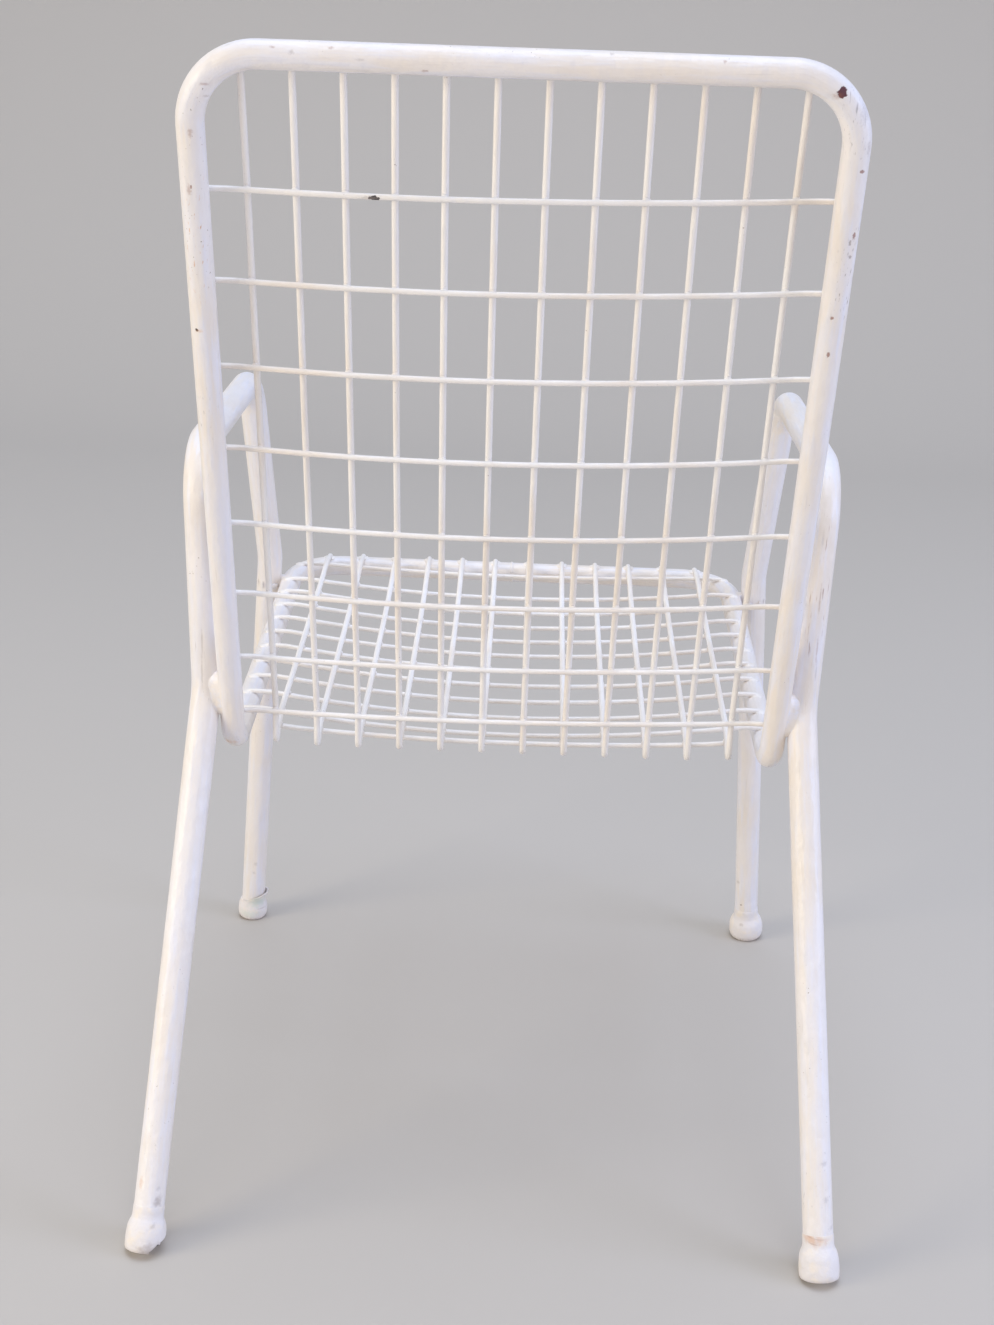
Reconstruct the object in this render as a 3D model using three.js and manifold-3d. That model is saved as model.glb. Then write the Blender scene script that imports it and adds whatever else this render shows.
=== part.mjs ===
// Wire mesh lawn chair: a bent tube loop carries the seat and back mesh, and two bent side tubes
// make the legs and the arms. Millimetres, +Z up, the front of the chair faces -Y.

import * as THREE from 'three';
import { mergeVertices } from 'three/addons/utils/BufferGeometryUtils.js';
import Module from 'manifold-3d';

const wasm = await Module();
wasm.setup();

const degree = Math.PI / 180;

// Stock sizes, paint included
const frameTube = { diameter: 20, wall: 1.5 };
const sideTube = { diameter: 25, wall: 1.5 };
const longWireDiameter = 5.2;
const crossWireDiameter = 4.4;
const weldGap = 0.3;

// Seat and back loop: its two flats meet in a corner line behind the seat
const frameWidth = 454;
const cornerHeight = 380;
const seatLength = 418;
const backLength = 578;
const seatTilt = 5 * degree;
const backRecline = 15 * degree;
const seatBackBend = 28;
const topCornerBend = 49;
const frontCornerBend = 50;
const buttSeam = 0.5;

// Side tubes: reaches are measured forward (+) or back (-) from the corner line
const armHeight = 633;
const armRearReach = -3;
const armFrontReach = 302;
const rearKnee = { reach: -3, height: 432, bend: 60 };
const frontKnee = { reach: 359, height: 440, bend: 60 };
const rearFootReach = -182;
const frontFootReach = 414;
const rearFootSplay = 29;
const frontFootSplay = 32;
const rearArmFlare = 4;
const frontArmFlare = 9;
const armBend = 45;

// Wire mesh
const longWireCount = 12;
const meshSideMargin = 34.5;
const backWireShares = [0.836, 0.718, 0.601, 0.483, 0.368, 0.255, 0.147, 0.052];
const seatWireCount = 10;
const seatMeshFrontMargin = 68;
const seatMeshRearMargin = 48.5;
const frontRailWireInset = 25;
const rearCornerWireInset = 29;
const wireEndOverrun = 4;
const rearWireOverrun = 5;
const topWireOverrun = 3;
const hookAngle = 75 * degree;

// Dish of the mesh below the plain line between the side tubes
const seatDish = 19;
const backDish = 19;
const bendDrop = 14.5;
const bendDropReach = 36;
const bendDropPlaceShare = 0.33;
const bendDropFlatness = 14;
const tipDrop = 10;
const tipReach = 15;
const tipStationShares = [1, 0.2, -0.2, -1];
const seatDishSteepness = 8;
const backDishStartShare = 0.156;
const backDishSpanShare = 0.67;
const wireRestShare = 0.5;

// Foot caps, sizes along and around the tube's own axis
const cap = { lip: 14.3, neck: 13.7, shoulder: 16.6, bulb: 18, heel: 16.8, toe: 14.5 };
const capStep = { heel: 1.2, toe: 3.5, bulb: 12, shoulder: 23, neck: 28, lip: 32, top: 37 };
const capSole = 5;
const capLift = 1.5;

// Facets
const tubeSides = 14;
const boreSides = 8;
const wireSides = 6;
const capSides = 20;
const bendStep = 16 * degree;
const hookSteps = 4;
const crossingsPerStation = 2;

const tubeRadius = frameTube.diameter / 2;
const sideRadius = sideTube.diameter / 2;
const longRadius = longWireDiameter / 2;
const crossRadius = crossWireDiameter / 2;
const halfWidth = frameWidth / 2;
const dishHalfWidth = halfWidth - wireRestShare * tubeRadius;
const cornerY = (frontFootReach + rearFootReach) / 2;

const enamel = () => new THREE.MeshStandardMaterial({ color: 0xf3ece4, roughness: 0.42, metalness: 0 });
const rubber = () => new THREE.MeshStandardMaterial({ color: 0xece6e2, roughness: 0.62, metalness: 0 });

const chair = new THREE.Group();

function addPiece(name, geometry, material) {
  const piece = new THREE.Mesh(geometry, material);
  piece.name = name;
  chair.add(piece);
}

// A route is a chain of stations, each a point with its direction, joined by straight lines
class Route extends THREE.Curve {
  constructor(points) {
    super();
    this.points = points;
  }
  get steps() {
    return this.points.length - 1;
  }
  getPointAt(u, target = new THREE.Vector3()) {
    return target.copy(this.points[Math.round(u * this.steps)]);
  }
  getTangentAt(u, target = new THREE.Vector3()) {
    const i = Math.round(u * this.steps);
    const before = this.points[Math.max(i - 1, 0)];
    const after = this.points[Math.min(i + 1, this.steps)];
    return target.subVectors(after, before).normalize();
  }
}

// Straight runs between corners, each inner corner rounded with its own bend radius
function bentRoute(corners) {
  const points = [corners[0].at];
  for (let i = 1; i < corners.length - 1; i += 1) {
    const { at, bend } = corners[i];
    const back = new THREE.Vector3().subVectors(corners[i - 1].at, at).normalize();
    const ahead = new THREE.Vector3().subVectors(corners[i + 1].at, at).normalize();
    const half = back.angleTo(ahead) / 2;
    const middle = new THREE.Vector3().addVectors(back, ahead).normalize();
    const centre = at.clone().addScaledVector(middle, bend / Math.sin(half));
    const start = at.clone().addScaledVector(back, bend / Math.tan(half)).sub(centre);
    const axis = new THREE.Vector3().crossVectors(ahead, back).normalize();
    const turn = Math.PI - 2 * half;
    const steps = Math.max(2, Math.ceil(turn / bendStep));
    for (let k = 0; k <= steps; k += 1) {
      points.push(start.clone().applyAxisAngle(axis, (turn * k) / steps).add(centre));
    }
  }
  points.push(corners.at(-1).at);
  return new Route(points);
}

function ring(radius, sides) {
  const corner = (i) => (2 * Math.PI * i) / sides;
  return Array.from({ length: sides }, (_, i) => (
    new THREE.Vector2(radius * Math.cos(corner(i)), radius * Math.sin(corner(i)))
  ));
}

function wireAlong(route, radius) {
  const section = new THREE.Shape(ring(radius, wireSides));
  return new THREE.ExtrudeGeometry(section, { steps: route.steps, extrudePath: route });
}

function tubeAlong(route, tube) {
  const section = new THREE.Shape(ring(tube.diameter / 2, tubeSides));
  section.holes.push(new THREE.Path(ring(tube.diameter / 2 - tube.wall, boreSides)));
  return new THREE.ExtrudeGeometry(section, { steps: route.steps, extrudePath: route });
}

// Side view: reach forward of the corner line and height above the floor, placed at a width x
const place = (x, reach, height) => new THREE.Vector3(x, cornerY - reach, height);
const seatDirection = new THREE.Vector2(Math.cos(seatTilt), Math.sin(seatTilt));
const backDirection = new THREE.Vector2(-Math.sin(backRecline), Math.cos(backRecline));
const seatPoint = (x, length) => (
  place(x, length * seatDirection.x, cornerHeight + length * seatDirection.y)
);
const backPoint = (x, length) => (
  place(x, length * backDirection.x, cornerHeight + length * backDirection.y)
);

// The sheet follows the side tubes from the front rail, round the bend, to the top rail.
// A place on it is the run along the tubes and the rise towards the sitter.
const bendTurn = Math.PI / 2 - backRecline + seatTilt;
const bendTangent = seatBackBend * Math.tan(bendTurn / 2);
const seatRun = seatLength - bendTangent;
const bendRun = seatBackBend * bendTurn;
const backRun = backLength - bendTangent;
const bendMiddle = seatRun + bendRun / 2;

const runOfSeat = (length) => seatLength - length;
function runOfBack(length) {
  const short = Math.max(bendTangent - length, 0);
  return seatRun + bendRun + Math.max(length - bendTangent, 0) - short * (bendRun / 2 / bendTangent);
}

function sheetPoint(x, run, rise) {
  const swing = THREE.MathUtils.clamp((run - seatRun) / seatBackBend, 0, bendTurn);
  const facing = Math.PI / 2 + seatTilt - swing;
  const toSitter = new THREE.Vector2(Math.cos(facing), Math.sin(facing));
  const centre = seatDirection.clone().multiplyScalar(bendTangent);
  centre.x -= seatBackBend * Math.sin(seatTilt);
  centre.y += seatBackBend * Math.cos(seatTilt);
  const point = centre.addScaledVector(toSitter, rise - seatBackBend);
  point.addScaledVector(seatDirection, Math.max(seatRun - run, 0));
  point.addScaledVector(backDirection, Math.max(run - seatRun - bendRun, 0));
  return place(x, point.x, cornerHeight + point.y);
}

const outerLongWire = halfWidth - meshSideMargin;
const longWirePitch = (2 * outerLongWire) / (longWireCount - 1);
const lowestRun = seatRun + bendDropPlaceShare * bendRun;

function dishDepth(x, run) {
  const across = Math.max(1 - (x / dishHalfWidth) ** 2, 0);
  const seatShare = THREE.MathUtils.clamp(run / seatRun, 0, 1);
  const backShare = THREE.MathUtils.clamp((run - seatRun - bendRun) / backRun, 0, 1);
  const seat = seatDish * (1 - (1 - seatShare) ** seatDishSteepness);
  const back = backDish * Math.sin(Math.PI * (backDishStartShare + backDishSpanShare * backShare));
  const dish = run < bendMiddle ? seat : back;
  const near = Math.min(Math.abs(run - lowestRun) / bendDropReach, 1);
  const drop = Math.cos((near * Math.PI) / 2) ** 2;
  const level = Math.max(1 - Math.abs(x / dishHalfWidth) ** bendDropFlatness, 0);
  return THREE.MathUtils.lerp(dish * across, bendDrop * level, drop);
}

const crossRise = tubeRadius + crossRadius + weldGap;
const railWireRise = tubeRadius + longRadius + weldGap;
const layerStep = crossRadius + longRadius + weldGap;
const crossWireAt = (x, run) => sheetPoint(x, run, crossRise - dishDepth(x, run));

// The long wires lie one layer nearer the sitter, square to the dish, and come to a blunt tip
// at the lowest place of the bend
function longWireAt(x, run) {
  const fall = dishDepth(x, run + layerStep) - dishDepth(x, run - layerStep);
  const lean = Math.atan2(fall, 2 * layerStep);
  const tip = tipDrop * Math.max(1 - Math.abs(run - lowestRun) / tipReach, 0);
  const rise = crossRise - dishDepth(x, run) + layerStep * Math.cos(lean) - tip;
  return sheetPoint(x, run + layerStep * Math.sin(lean), rise);
}

// Seat and back frame: one tube bent into a loop and butt welded in the middle of the front rail
const frameRoute = bentRoute([
  { at: seatPoint(buttSeam / 2, seatLength) },
  { at: seatPoint(halfWidth, seatLength), bend: frontCornerBend },
  { at: seatPoint(halfWidth, 0), bend: seatBackBend },
  { at: backPoint(halfWidth, backLength), bend: topCornerBend },
  { at: backPoint(-halfWidth, backLength), bend: topCornerBend },
  { at: seatPoint(-halfWidth, 0), bend: seatBackBend },
  { at: seatPoint(-halfWidth, seatLength), bend: frontCornerBend },
  { at: seatPoint(-buttSeam / 2, seatLength) },
]);
addPiece('seat_back_frame', tubeAlong(frameRoute, frameTube), enamel());

// Side tube: rear leg, arm and front leg in one length. Its knees lie beside the frame tube,
// as far out as the two tubes and the weld gap need.
function footEnd(knee, kneeX, reach, splay) {
  const sole = place(kneeX + splay, reach, capLift);
  const up = place(kneeX, knee.reach, knee.height).sub(sole).normalize();
  return { sole, up, end: sole.clone().addScaledVector(up, capSole + weldGap) };
}

function sideRoute(rearX, frontX) {
  return bentRoute([
    { at: footEnd(rearKnee, rearX, rearFootReach, rearFootSplay).end },
    { at: place(rearX, rearKnee.reach, rearKnee.height), bend: rearKnee.bend },
    { at: place(rearX + rearArmFlare, armRearReach, armHeight), bend: armBend },
    { at: place(frontX + frontArmFlare, armFrontReach, armHeight), bend: armBend },
    { at: place(frontX, frontKnee.reach, frontKnee.height), bend: frontKnee.bend },
    { at: footEnd(frontKnee, frontX, frontFootReach, frontFootSplay).end },
  ]);
}

// Least distance between the centre lines of the frame and of one half of a side tube
function centreDistance(route, isRear) {
  const split = cornerY - (rearKnee.reach + frontKnee.reach) / 2;
  const line = new THREE.Line3();
  const other = new THREE.Line3();
  const onLine = new THREE.Vector3();
  const onOther = new THREE.Vector3();
  let least = Infinity;
  for (let i = 0; i < route.steps; i += 1) {
    line.set(route.points[i], route.points[i + 1]);
    if ((line.start.y + line.end.y) / 2 > split !== isRear) continue;
    for (let k = 0; k < frameRoute.steps; k += 1) {
      other.set(frameRoute.points[k], frameRoute.points[k + 1]);
      const squared = line.distanceSqToLine3(other, onLine, onOther);
      least = Math.min(least, squared);
    }
  }
  return Math.sqrt(least);
}

const weldDistance = tubeRadius + sideRadius + weldGap;
let rearKneeX = halfWidth + weldDistance;
let frontKneeX = halfWidth + weldDistance;
const seatingPasses = 6;
for (let pass = 0; pass < seatingPasses; pass += 1) {
  const route = sideRoute(rearKneeX, frontKneeX);
  rearKneeX += weldDistance - centreDistance(route, true);
  frontKneeX += weldDistance - centreDistance(route, false);
}

const mirrorX = new THREE.Vector3(-1, 1, 1);
const sides = [
  { name: 'left', sign: 1 },
  { name: 'right', sign: -1 },
];
for (const { name, sign } of sides) {
  const route = sideRoute(rearKneeX, frontKneeX);
  if (sign < 0) route.points.forEach((point) => point.multiply(mirrorX));
  addPiece(`${name}_leg_arm_tube`, tubeAlong(route, sideTube), enamel());
}

// Foot caps: a turned rubber cup pushed over the tube end, its sole worn flat on the floor
function toManifold(geometry) {
  const bare = geometry.clone();
  bare.deleteAttribute('normal');
  bare.deleteAttribute('uv');
  const welded = mergeVertices(bare);
  return new wasm.Manifold(new wasm.Mesh({
    numProp: 3,
    vertProperties: new Float32Array(welded.attributes.position.array),
    triVerts: new Uint32Array(welded.index.array),
  }));
}

function fromManifold(solid) {
  const mesh = solid.getMesh();
  const geometry = new THREE.BufferGeometry();
  geometry.setAttribute('position', new THREE.BufferAttribute(mesh.vertProperties, 3));
  geometry.setIndex(new THREE.BufferAttribute(mesh.triVerts, 1));
  const flat = geometry.toNonIndexed();
  flat.computeVertexNormals();
  return flat;
}

function capGeometry({ sole, up }) {
  const bore = sideRadius + weldGap;
  const profile = [
    [0, 0],
    [cap.toe, 0],
    [cap.heel, capStep.heel],
    [cap.bulb, capStep.toe],
    [cap.bulb, capStep.bulb],
    [cap.shoulder, capStep.shoulder],
    [cap.neck, capStep.neck],
    [cap.lip, capStep.lip],
    [cap.lip, capStep.top],
    [bore, capStep.top],
    [bore, capSole],
    [0, capSole],
  ].map(([radius, height]) => new THREE.Vector2(radius, height));
  const cup = new THREE.LatheGeometry(profile, capSides);
  const axis = new THREE.Vector3(0, 1, 0);
  cup.applyQuaternion(new THREE.Quaternion().setFromUnitVectors(axis, up));
  cup.translate(sole.x, sole.y, sole.z);
  const depth = 2 * cap.bulb;
  const floor = new THREE.BoxGeometry(2 * depth, 2 * depth, depth);
  floor.translate(sole.x, sole.y, -depth / 2);
  return fromManifold(toManifold(cup).subtract(toManifold(floor)));
}

const feet = [
  { name: 'rear', knee: rearKnee, x: rearKneeX, reach: rearFootReach, splay: rearFootSplay },
  { name: 'front', knee: frontKnee, x: frontKneeX, reach: frontFootReach, splay: frontFootSplay },
];
for (const { name: side, sign } of sides) {
  for (const foot of feet) {
    const { sole, up } = footEnd(foot.knee, foot.x, foot.reach, foot.splay);
    if (sign < 0) {
      sole.multiply(mirrorX);
      up.multiply(mirrorX);
    }
    addPiece(`foot_cap_${foot.name}_${side}`, capGeometry({ sole, up }), rubber());
  }
}

// Cross wires, across the seat and the back, end on the side of the tubes that faces the sitter
function railX(run) {
  const backPlace = run - seatRun - bendRun + bendTangent;
  const bend = run < bendMiddle ? frontCornerBend : topCornerBend;
  const end = run < bendMiddle ? seatLength - run : backPlace;
  const full = run < bendMiddle ? seatLength : backLength;
  const into = Math.max(end - (full - bend), 0);
  return halfWidth - bend + Math.sqrt(bend ** 2 - into ** 2);
}

function crossWire(run, endX) {
  const rests = endX > dishHalfWidth ? [dishHalfWidth, endX] : [endX];
  const stations = rests.map((x) => -x).reverse();
  for (let i = 0; i < longWireCount; i += 1) stations.push(i * longWirePitch - outerLongWire);
  stations.push(...rests);
  return wireAlong(new Route(stations.map((x) => crossWireAt(x, run))), crossRadius);
}

backWireShares.forEach((share, i) => {
  const run = runOfBack(share * backLength);
  addPiece(`back_cross_wire_${i + 1}`, crossWire(run, railX(run) + wireEndOverrun), enamel());
});

const evenSpan = seatLength - seatMeshFrontMargin - seatMeshRearMargin;
const seatPlaces = [seatLength - frontRailWireInset];
for (let i = 0; i < seatWireCount; i += 1) {
  seatPlaces.push(seatLength - seatMeshFrontMargin - (evenSpan * i) / (seatWireCount - 1));
}
seatPlaces.push(rearCornerWireInset);
seatPlaces.forEach((length, i) => {
  const run = runOfSeat(length);
  const isRear = i === seatPlaces.length - 1;
  const endX = isRear ? outerLongWire + rearWireOverrun : railX(run) + wireEndOverrun;
  const number = String(i + 1).padStart(2, '0');
  addPiece(`seat_cross_wire_${number}`, crossWire(run, endX), enamel());
});

// Long wires run from the top rail down the back, round the bend and forward over the seat,
// then hook down over the front rail
function railDrop(x, bend) {
  const into = Math.max(Math.abs(x) - (halfWidth - bend), 0);
  return bend - Math.sqrt(bend ** 2 - into ** 2);
}

function longWire(x) {
  const topRun = seatRun + bendRun + backRun - railDrop(x, topCornerBend);
  const frontRun = railDrop(x, frontCornerBend);
  const points = [
    sheetPoint(x, topRun + topWireOverrun, railWireRise),
    sheetPoint(x, topRun - topWireOverrun, railWireRise),
  ];
  backWireShares.forEach((share) => points.push(longWireAt(x, runOfBack(share * backLength))));
  tipStationShares.forEach((share) => points.push(longWireAt(x, lowestRun + share * tipReach)));
  const crossings = seatPlaces.filter((_, i) => i % crossingsPerStation === 0);
  crossings.reverse().forEach((length) => points.push(longWireAt(x, runOfSeat(length))));
  for (let k = 0; k <= hookSteps; k += 1) {
    const angle = (hookAngle * k) / hookSteps;
    const run = frontRun - railWireRise * Math.sin(angle);
    points.push(sheetPoint(x, run, railWireRise * Math.cos(angle)));
  }
  return wireAlong(new Route(points), longRadius);
}

for (let i = 0; i < longWireCount; i += 1) {
  const number = String(i + 1).padStart(2, '0');
  addPiece(`long_wire_${number}`, longWire(outerLongWire - i * longWirePitch), enamel());
}

// The origin is on the floor under the middle of the whole chair
chair.updateMatrixWorld(true);
const reach = new THREE.Box3().setFromObject(chair, true);
chair.position.set(0, -(reach.min.y + reach.max.y) / 2, 0);

export default chair;
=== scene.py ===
"""Looks of the wire mesh lawn chair: bent tube, welded wire, turned foot caps and worn enamel.

Metres, +Z up. The front of the chair faces -Y and +X is the sitter's left.
"""

import math
import random

import bpy
from bpy.props import FloatProperty, FloatVectorProperty, PointerProperty
from mathutils import Matrix, Vector
from mathutils.geometry import intersect_line_line, intersect_point_line
from mathutils.kdtree import KDTree


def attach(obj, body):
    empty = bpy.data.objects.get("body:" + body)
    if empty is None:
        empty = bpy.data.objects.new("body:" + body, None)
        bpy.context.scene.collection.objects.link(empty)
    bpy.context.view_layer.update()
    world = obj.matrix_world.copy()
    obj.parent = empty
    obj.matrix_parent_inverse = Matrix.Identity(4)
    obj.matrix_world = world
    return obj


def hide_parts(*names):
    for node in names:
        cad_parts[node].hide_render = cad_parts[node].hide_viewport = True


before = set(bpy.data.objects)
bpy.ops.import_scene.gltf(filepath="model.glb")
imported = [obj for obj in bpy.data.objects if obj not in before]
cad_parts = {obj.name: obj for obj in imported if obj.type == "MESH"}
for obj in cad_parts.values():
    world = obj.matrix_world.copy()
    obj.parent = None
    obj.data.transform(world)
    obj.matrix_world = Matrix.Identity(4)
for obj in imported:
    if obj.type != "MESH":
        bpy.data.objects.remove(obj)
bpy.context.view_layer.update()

bl_info = {
    "name": "Wire Mesh Lawn Chair",
    "version": (1, 0, 0),
    "blender": (4, 5, 0),
    "location": "View3D > Sidebar > Lawn Chair",
    "description": "Builds the visible pieces of a welded wire lawn chair round its frame",
    "category": "Object",
}

DEGREE = math.radians(1)

# Seat and back loop
LOOP_WIDTH = 0.454
CORNER_HEIGHT = 0.380
CORNER_Y = 0.11707
SEAT_LENGTH = 0.418
BACK_LENGTH = 0.578
SEAT_TILT = 5 * DEGREE
BACK_RECLINE = 15 * DEGREE
SEAT_BACK_BEND = 0.028
TOP_CORNER_BEND = 0.049
FRONT_CORNER_BEND = 0.050
BUTT_SEAM = 0.0005

# Side tubes: reaches are measured forward (+) or back (-) from the corner line
ARM_HEIGHT = 0.633
ARM_REAR_REACH = -0.003
ARM_FRONT_REACH = 0.302
REAR_KNEE = {"reach": -0.003, "height": 0.432}
FRONT_KNEE = {"reach": 0.359, "height": 0.440}
REAR_FOOT = {"reach": -0.182, "splay": 0.029}
FRONT_FOOT = {"reach": 0.414, "splay": 0.032}
REAR_ARM_FLARE = 0.004
FRONT_ARM_FLARE = 0.009
KNEE_BEND = 0.060
ARM_BEND = 0.045
WELD_GAP = 0.0003

# Wire mesh
LONG_WIRE_COUNT = 12
MESH_SIDE_MARGIN = 0.0345
BACK_WIRE_SHARES = [0.836, 0.718, 0.601, 0.483, 0.368, 0.255, 0.147, 0.052]
BACK_WIRE_LEAN = -0.0145
BACK_WIRE_LIFT = 0.0008
SEAT_WIRE_COUNT = 10
SEAT_MESH_FRONT_MARGIN = 0.068
SEAT_MESH_REAR_MARGIN = 0.0485
FRONT_RAIL_WIRE_INSET = 0.025
REAR_CORNER_WIRE_INSET = 0.029
WIRE_END_OVERRUN = 0.004
REAR_WIRE_OVERRUN = 0.005
TOP_WIRE_OVERRUN = 0.003
HOOK_ANGLE = 75 * DEGREE
RAIL_BITE = 0.0022
RAIL_BITE_REACH = 0.022
CROSS_END_DROP = 0.0016
WIRE_END_THINNING = (0.35,)

# Dish of the mesh below the plain line between the side tubes
SEAT_DISH = 0.019
BACK_DISH = 0.019
BEND_DROP = 0.0145
BEND_DROP_REACH = 0.036
BEND_DROP_PLACE_SHARE = 0.33
BEND_DROP_FLATNESS = 14
TIP_DROP = 0.010
TIP_REACH = 0.015
SEAT_DISH_STEEPNESS = 8
BACK_DISH_START_SHARE = 0.156
BACK_DISH_SPAN_SHARE = 0.67
WIRE_REST_SHARE = 0.5

# Foot caps: radius and height of the turned outlines along the leg's own axis
REAR_CAP_OUTLINE = [
    (0.0138, 0.0000), (0.0156, 0.0011), (0.0164, 0.0030), (0.0166, 0.0060),
    (0.0166, 0.0110), (0.0163, 0.0165), (0.0157, 0.0208), (0.0147, 0.0238),
    (0.0136, 0.0258), (0.0130, 0.0280), (0.0129, 0.0315), (0.0129, 0.0345),
    (0.0128, 0.0362), (0.0126, 0.0372),
]
FRONT_CAP_OUTLINE = [
    (0.0142, 0.0000), (0.0165, 0.0012), (0.0177, 0.0032), (0.0184, 0.0065),
    (0.0186, 0.0105), (0.0183, 0.0150), (0.0174, 0.0190), (0.0160, 0.0222),
    (0.0146, 0.0243), (0.0136, 0.0262), (0.0131, 0.0300), (0.0130, 0.0345),
    (0.0129, 0.0362), (0.0126, 0.0370),
]
LOOSE_CAP_OUTLINE = [
    (0.0128, 0.0000), (0.0146, 0.0010), (0.0156, 0.0030), (0.0160, 0.0065),
    (0.0160, 0.0105), (0.0156, 0.0145), (0.0147, 0.0180), (0.0138, 0.0210),
    (0.0138, 0.0240), (0.0146, 0.0275), (0.0158, 0.0310), (0.0168, 0.0345),
    (0.0166, 0.0352), (0.0155, 0.0345), (0.0143, 0.0300), (0.0130, 0.0250),
    (0.0124, 0.0200),
]
CAP_GRIP = 0.0002
CAP_SOLE = 0.005
CAP_LIFT = 0.0015
LOOSE_CAP = ("front", "left")
TORN_CAP = ("rear", "left")
CAP_OUTLINES = {
    TORN_CAP: REAR_CAP_OUTLINE,
    ("rear", "right"): REAR_CAP_OUTLINE,
    ("front", "right"): FRONT_CAP_OUTLINE,
    LOOSE_CAP: LOOSE_CAP_OUTLINE,
}
LOOSE_COLLAR_HEIGHT = 0.0265
LOOSE_COLLAR_SLOPE = 21 * DEGREE
TRIM_BLOCK = 0.08
TEAR_PIXEL = (158, 1248)
TEAR_SHIFT = (-0.0015, -0.0080, -0.0045)
TEAR_RADII = (0.0115, 0.0200, 0.0080)
TEAR_RAGGEDNESS = 0.16
TEAR_SEED = 6

# Painted welds of the mesh: radii, unevenness, and how far a copy turns or swells at random
WELD_DICE_SEED = 11
CROSSING_FLATNESS = 0.72
CROSSING_LUMPS = 0.10
CROSSING_SWELL = 0.14
CROSSING_TURN = 1
END_BLOB = (0.0058, 0.0048, 0.0022)
END_BLOB_SINK = 0.0012
END_BLOB_SEED = 5
TIP_BLOB = (0.0070, 0.0060, 0.0024)
TIP_BLOB_SHARE = 0.68
TIP_BLOB_SEED = 8
END_LUMPS = 0.08
END_TURN = 0.2

# Welds of the knees, and the bead of the butt weld
KNEE_WELD_REACH = {"rear": (0.018, 0.038), "front": (0.016, 0.016)}
KNEE_WELD_STEPS = 18
KNEE_SOLVING_ROUNDS = 4
WELD_CORE = 0.0085
WELD_FILLET = 0.0040
WELD_GRAIN = 0.0010
WELD_SMOOTHING = 40
WELD_SETTLING = 6
WELD_SINK = 0.0003
WELD_END_THINNING = (0.60, 0.36, 0.18, 0.06)
BEAD_SINK = 0.0006
BEAD_RADIUS = 0.0016
BEAD_UNEVENNESS = 0.0003
BEAD_SEED = 4

# Dirt in the paint, and the back wire that is chipped
CROSS_WIRE_DIRT = 0.7
LONG_WIRE_DIRT = 0.9
WELD_DIRT = 0.8
KNEE_WELD_DIRT = 0.9
CHIPPED_WIRE = 1

# Fineness of the mesh
TUBE_SIDES = 32
TUBE_STEP = 0.02
SPIN_STEP = 5 * DEGREE
WIRE_ROUNDNESS = 3
WIRE_STEP = 0.006
HOOK_STEPS = 6
TIP_STEPS = (1, 0.2, -0.2, -1)
CORNER_CUT = 0.25
CAP_SIDES = 48
BLOB_SIDES = 8
BLOB_RINGS = 6
BEAD_STEPS = 28
BEAD_SIDES = 8
MERGE = 0.00001
SLIVER = 0.0001
FLOOR_CUT = 0.000001
SMOOTH_ANGLE = 50 * DEGREE
CUT_SMOOTH_ANGLE = 40 * DEGREE

# The photograph's frame and its camera
PHOTO_WIDTH = 994
PHOTO_HEIGHT = 1325
FOCAL_PIXELS = 1800
SENSOR_HEIGHT = 36
CAMERA_PLACE = Vector((-0.0125, 1.52878, 0.9626))
CAMERA_PITCH = 19.528 * DEGREE
CAMERA_YAW = -0.776 * DEGREE
CAMERA_ROLL = 2.007 * DEGREE
CAMERA_NEAR = 0.05
CAMERA_FAR = 60
SEARCH_PIXELS = 30

# Floor, backdrop and the light of the room
FLOOR_REACH = 9.0
FLOOR_LEVEL = 0.001
BACKDROP_PLACE = -4.2
BACKDROP_HEIGHT = 4.0
BACKDROP_BEND = 1.6
BACKDROP_STEPS = 24
ROOM_LIGHT = (0.91, 0.93, 1.0, 1)
ROOM_LIGHT_STRENGTH = 0.36
# Lamps: place, width, height, power and colour
LAMP_TARGET = Vector((0, 0, 0.5))
LAMPS = {
    "warm_lamp": ((3.4, 1.9, 1.3), 1.8, 1.8, 81, (1.0, 0.91, 0.74)),
    "front_lamp": ((0.2, 4.2, 1.25), 2.6, 1.6, 24, (1.0, 0.86, 0.76)),
    "overhead_lamp": ((-0.2, 0.1, 7.5), 5.6, 5.6, 372, (0.73, 0.82, 1.0)),
    "cool_lamp": ((-3.4, 1.1, 1.3), 1.8, 1.8, 62, (0.64, 0.72, 1.0)),
}


def stock_size(name, description, default, low, high):
    return FloatProperty(
        name=name, description=description, default=default, min=low, max=high, unit='LENGTH')


def paint_colour(name, description, default):
    return FloatVectorProperty(
        name=name, description=description, default=default, subtype='COLOR', size=3, min=0, max=1)


class ChairSizes(bpy.types.PropertyGroup):
    """Stock sizes of the chair, paint included"""

    loop_tube: stock_size("Loop Tube", "Outside diameter of the seat and back tube", 0.020, 0.01, 0.04)
    side_tube: stock_size("Side Tube", "Outside diameter of the leg and arm tubes", 0.025, 0.01, 0.05)
    long_wire: stock_size("Long Wire", "Diameter of the wires from top to front", 0.0052, 0.002, 0.01)
    cross_wire: stock_size("Cross Wire", "Diameter of the wires from side to side", 0.0044, 0.002, 0.01)
    blob: stock_size("Crossing Weld", "Radius of the weld where two wires cross", 0.0031, 0.001, 0.01)


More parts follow.
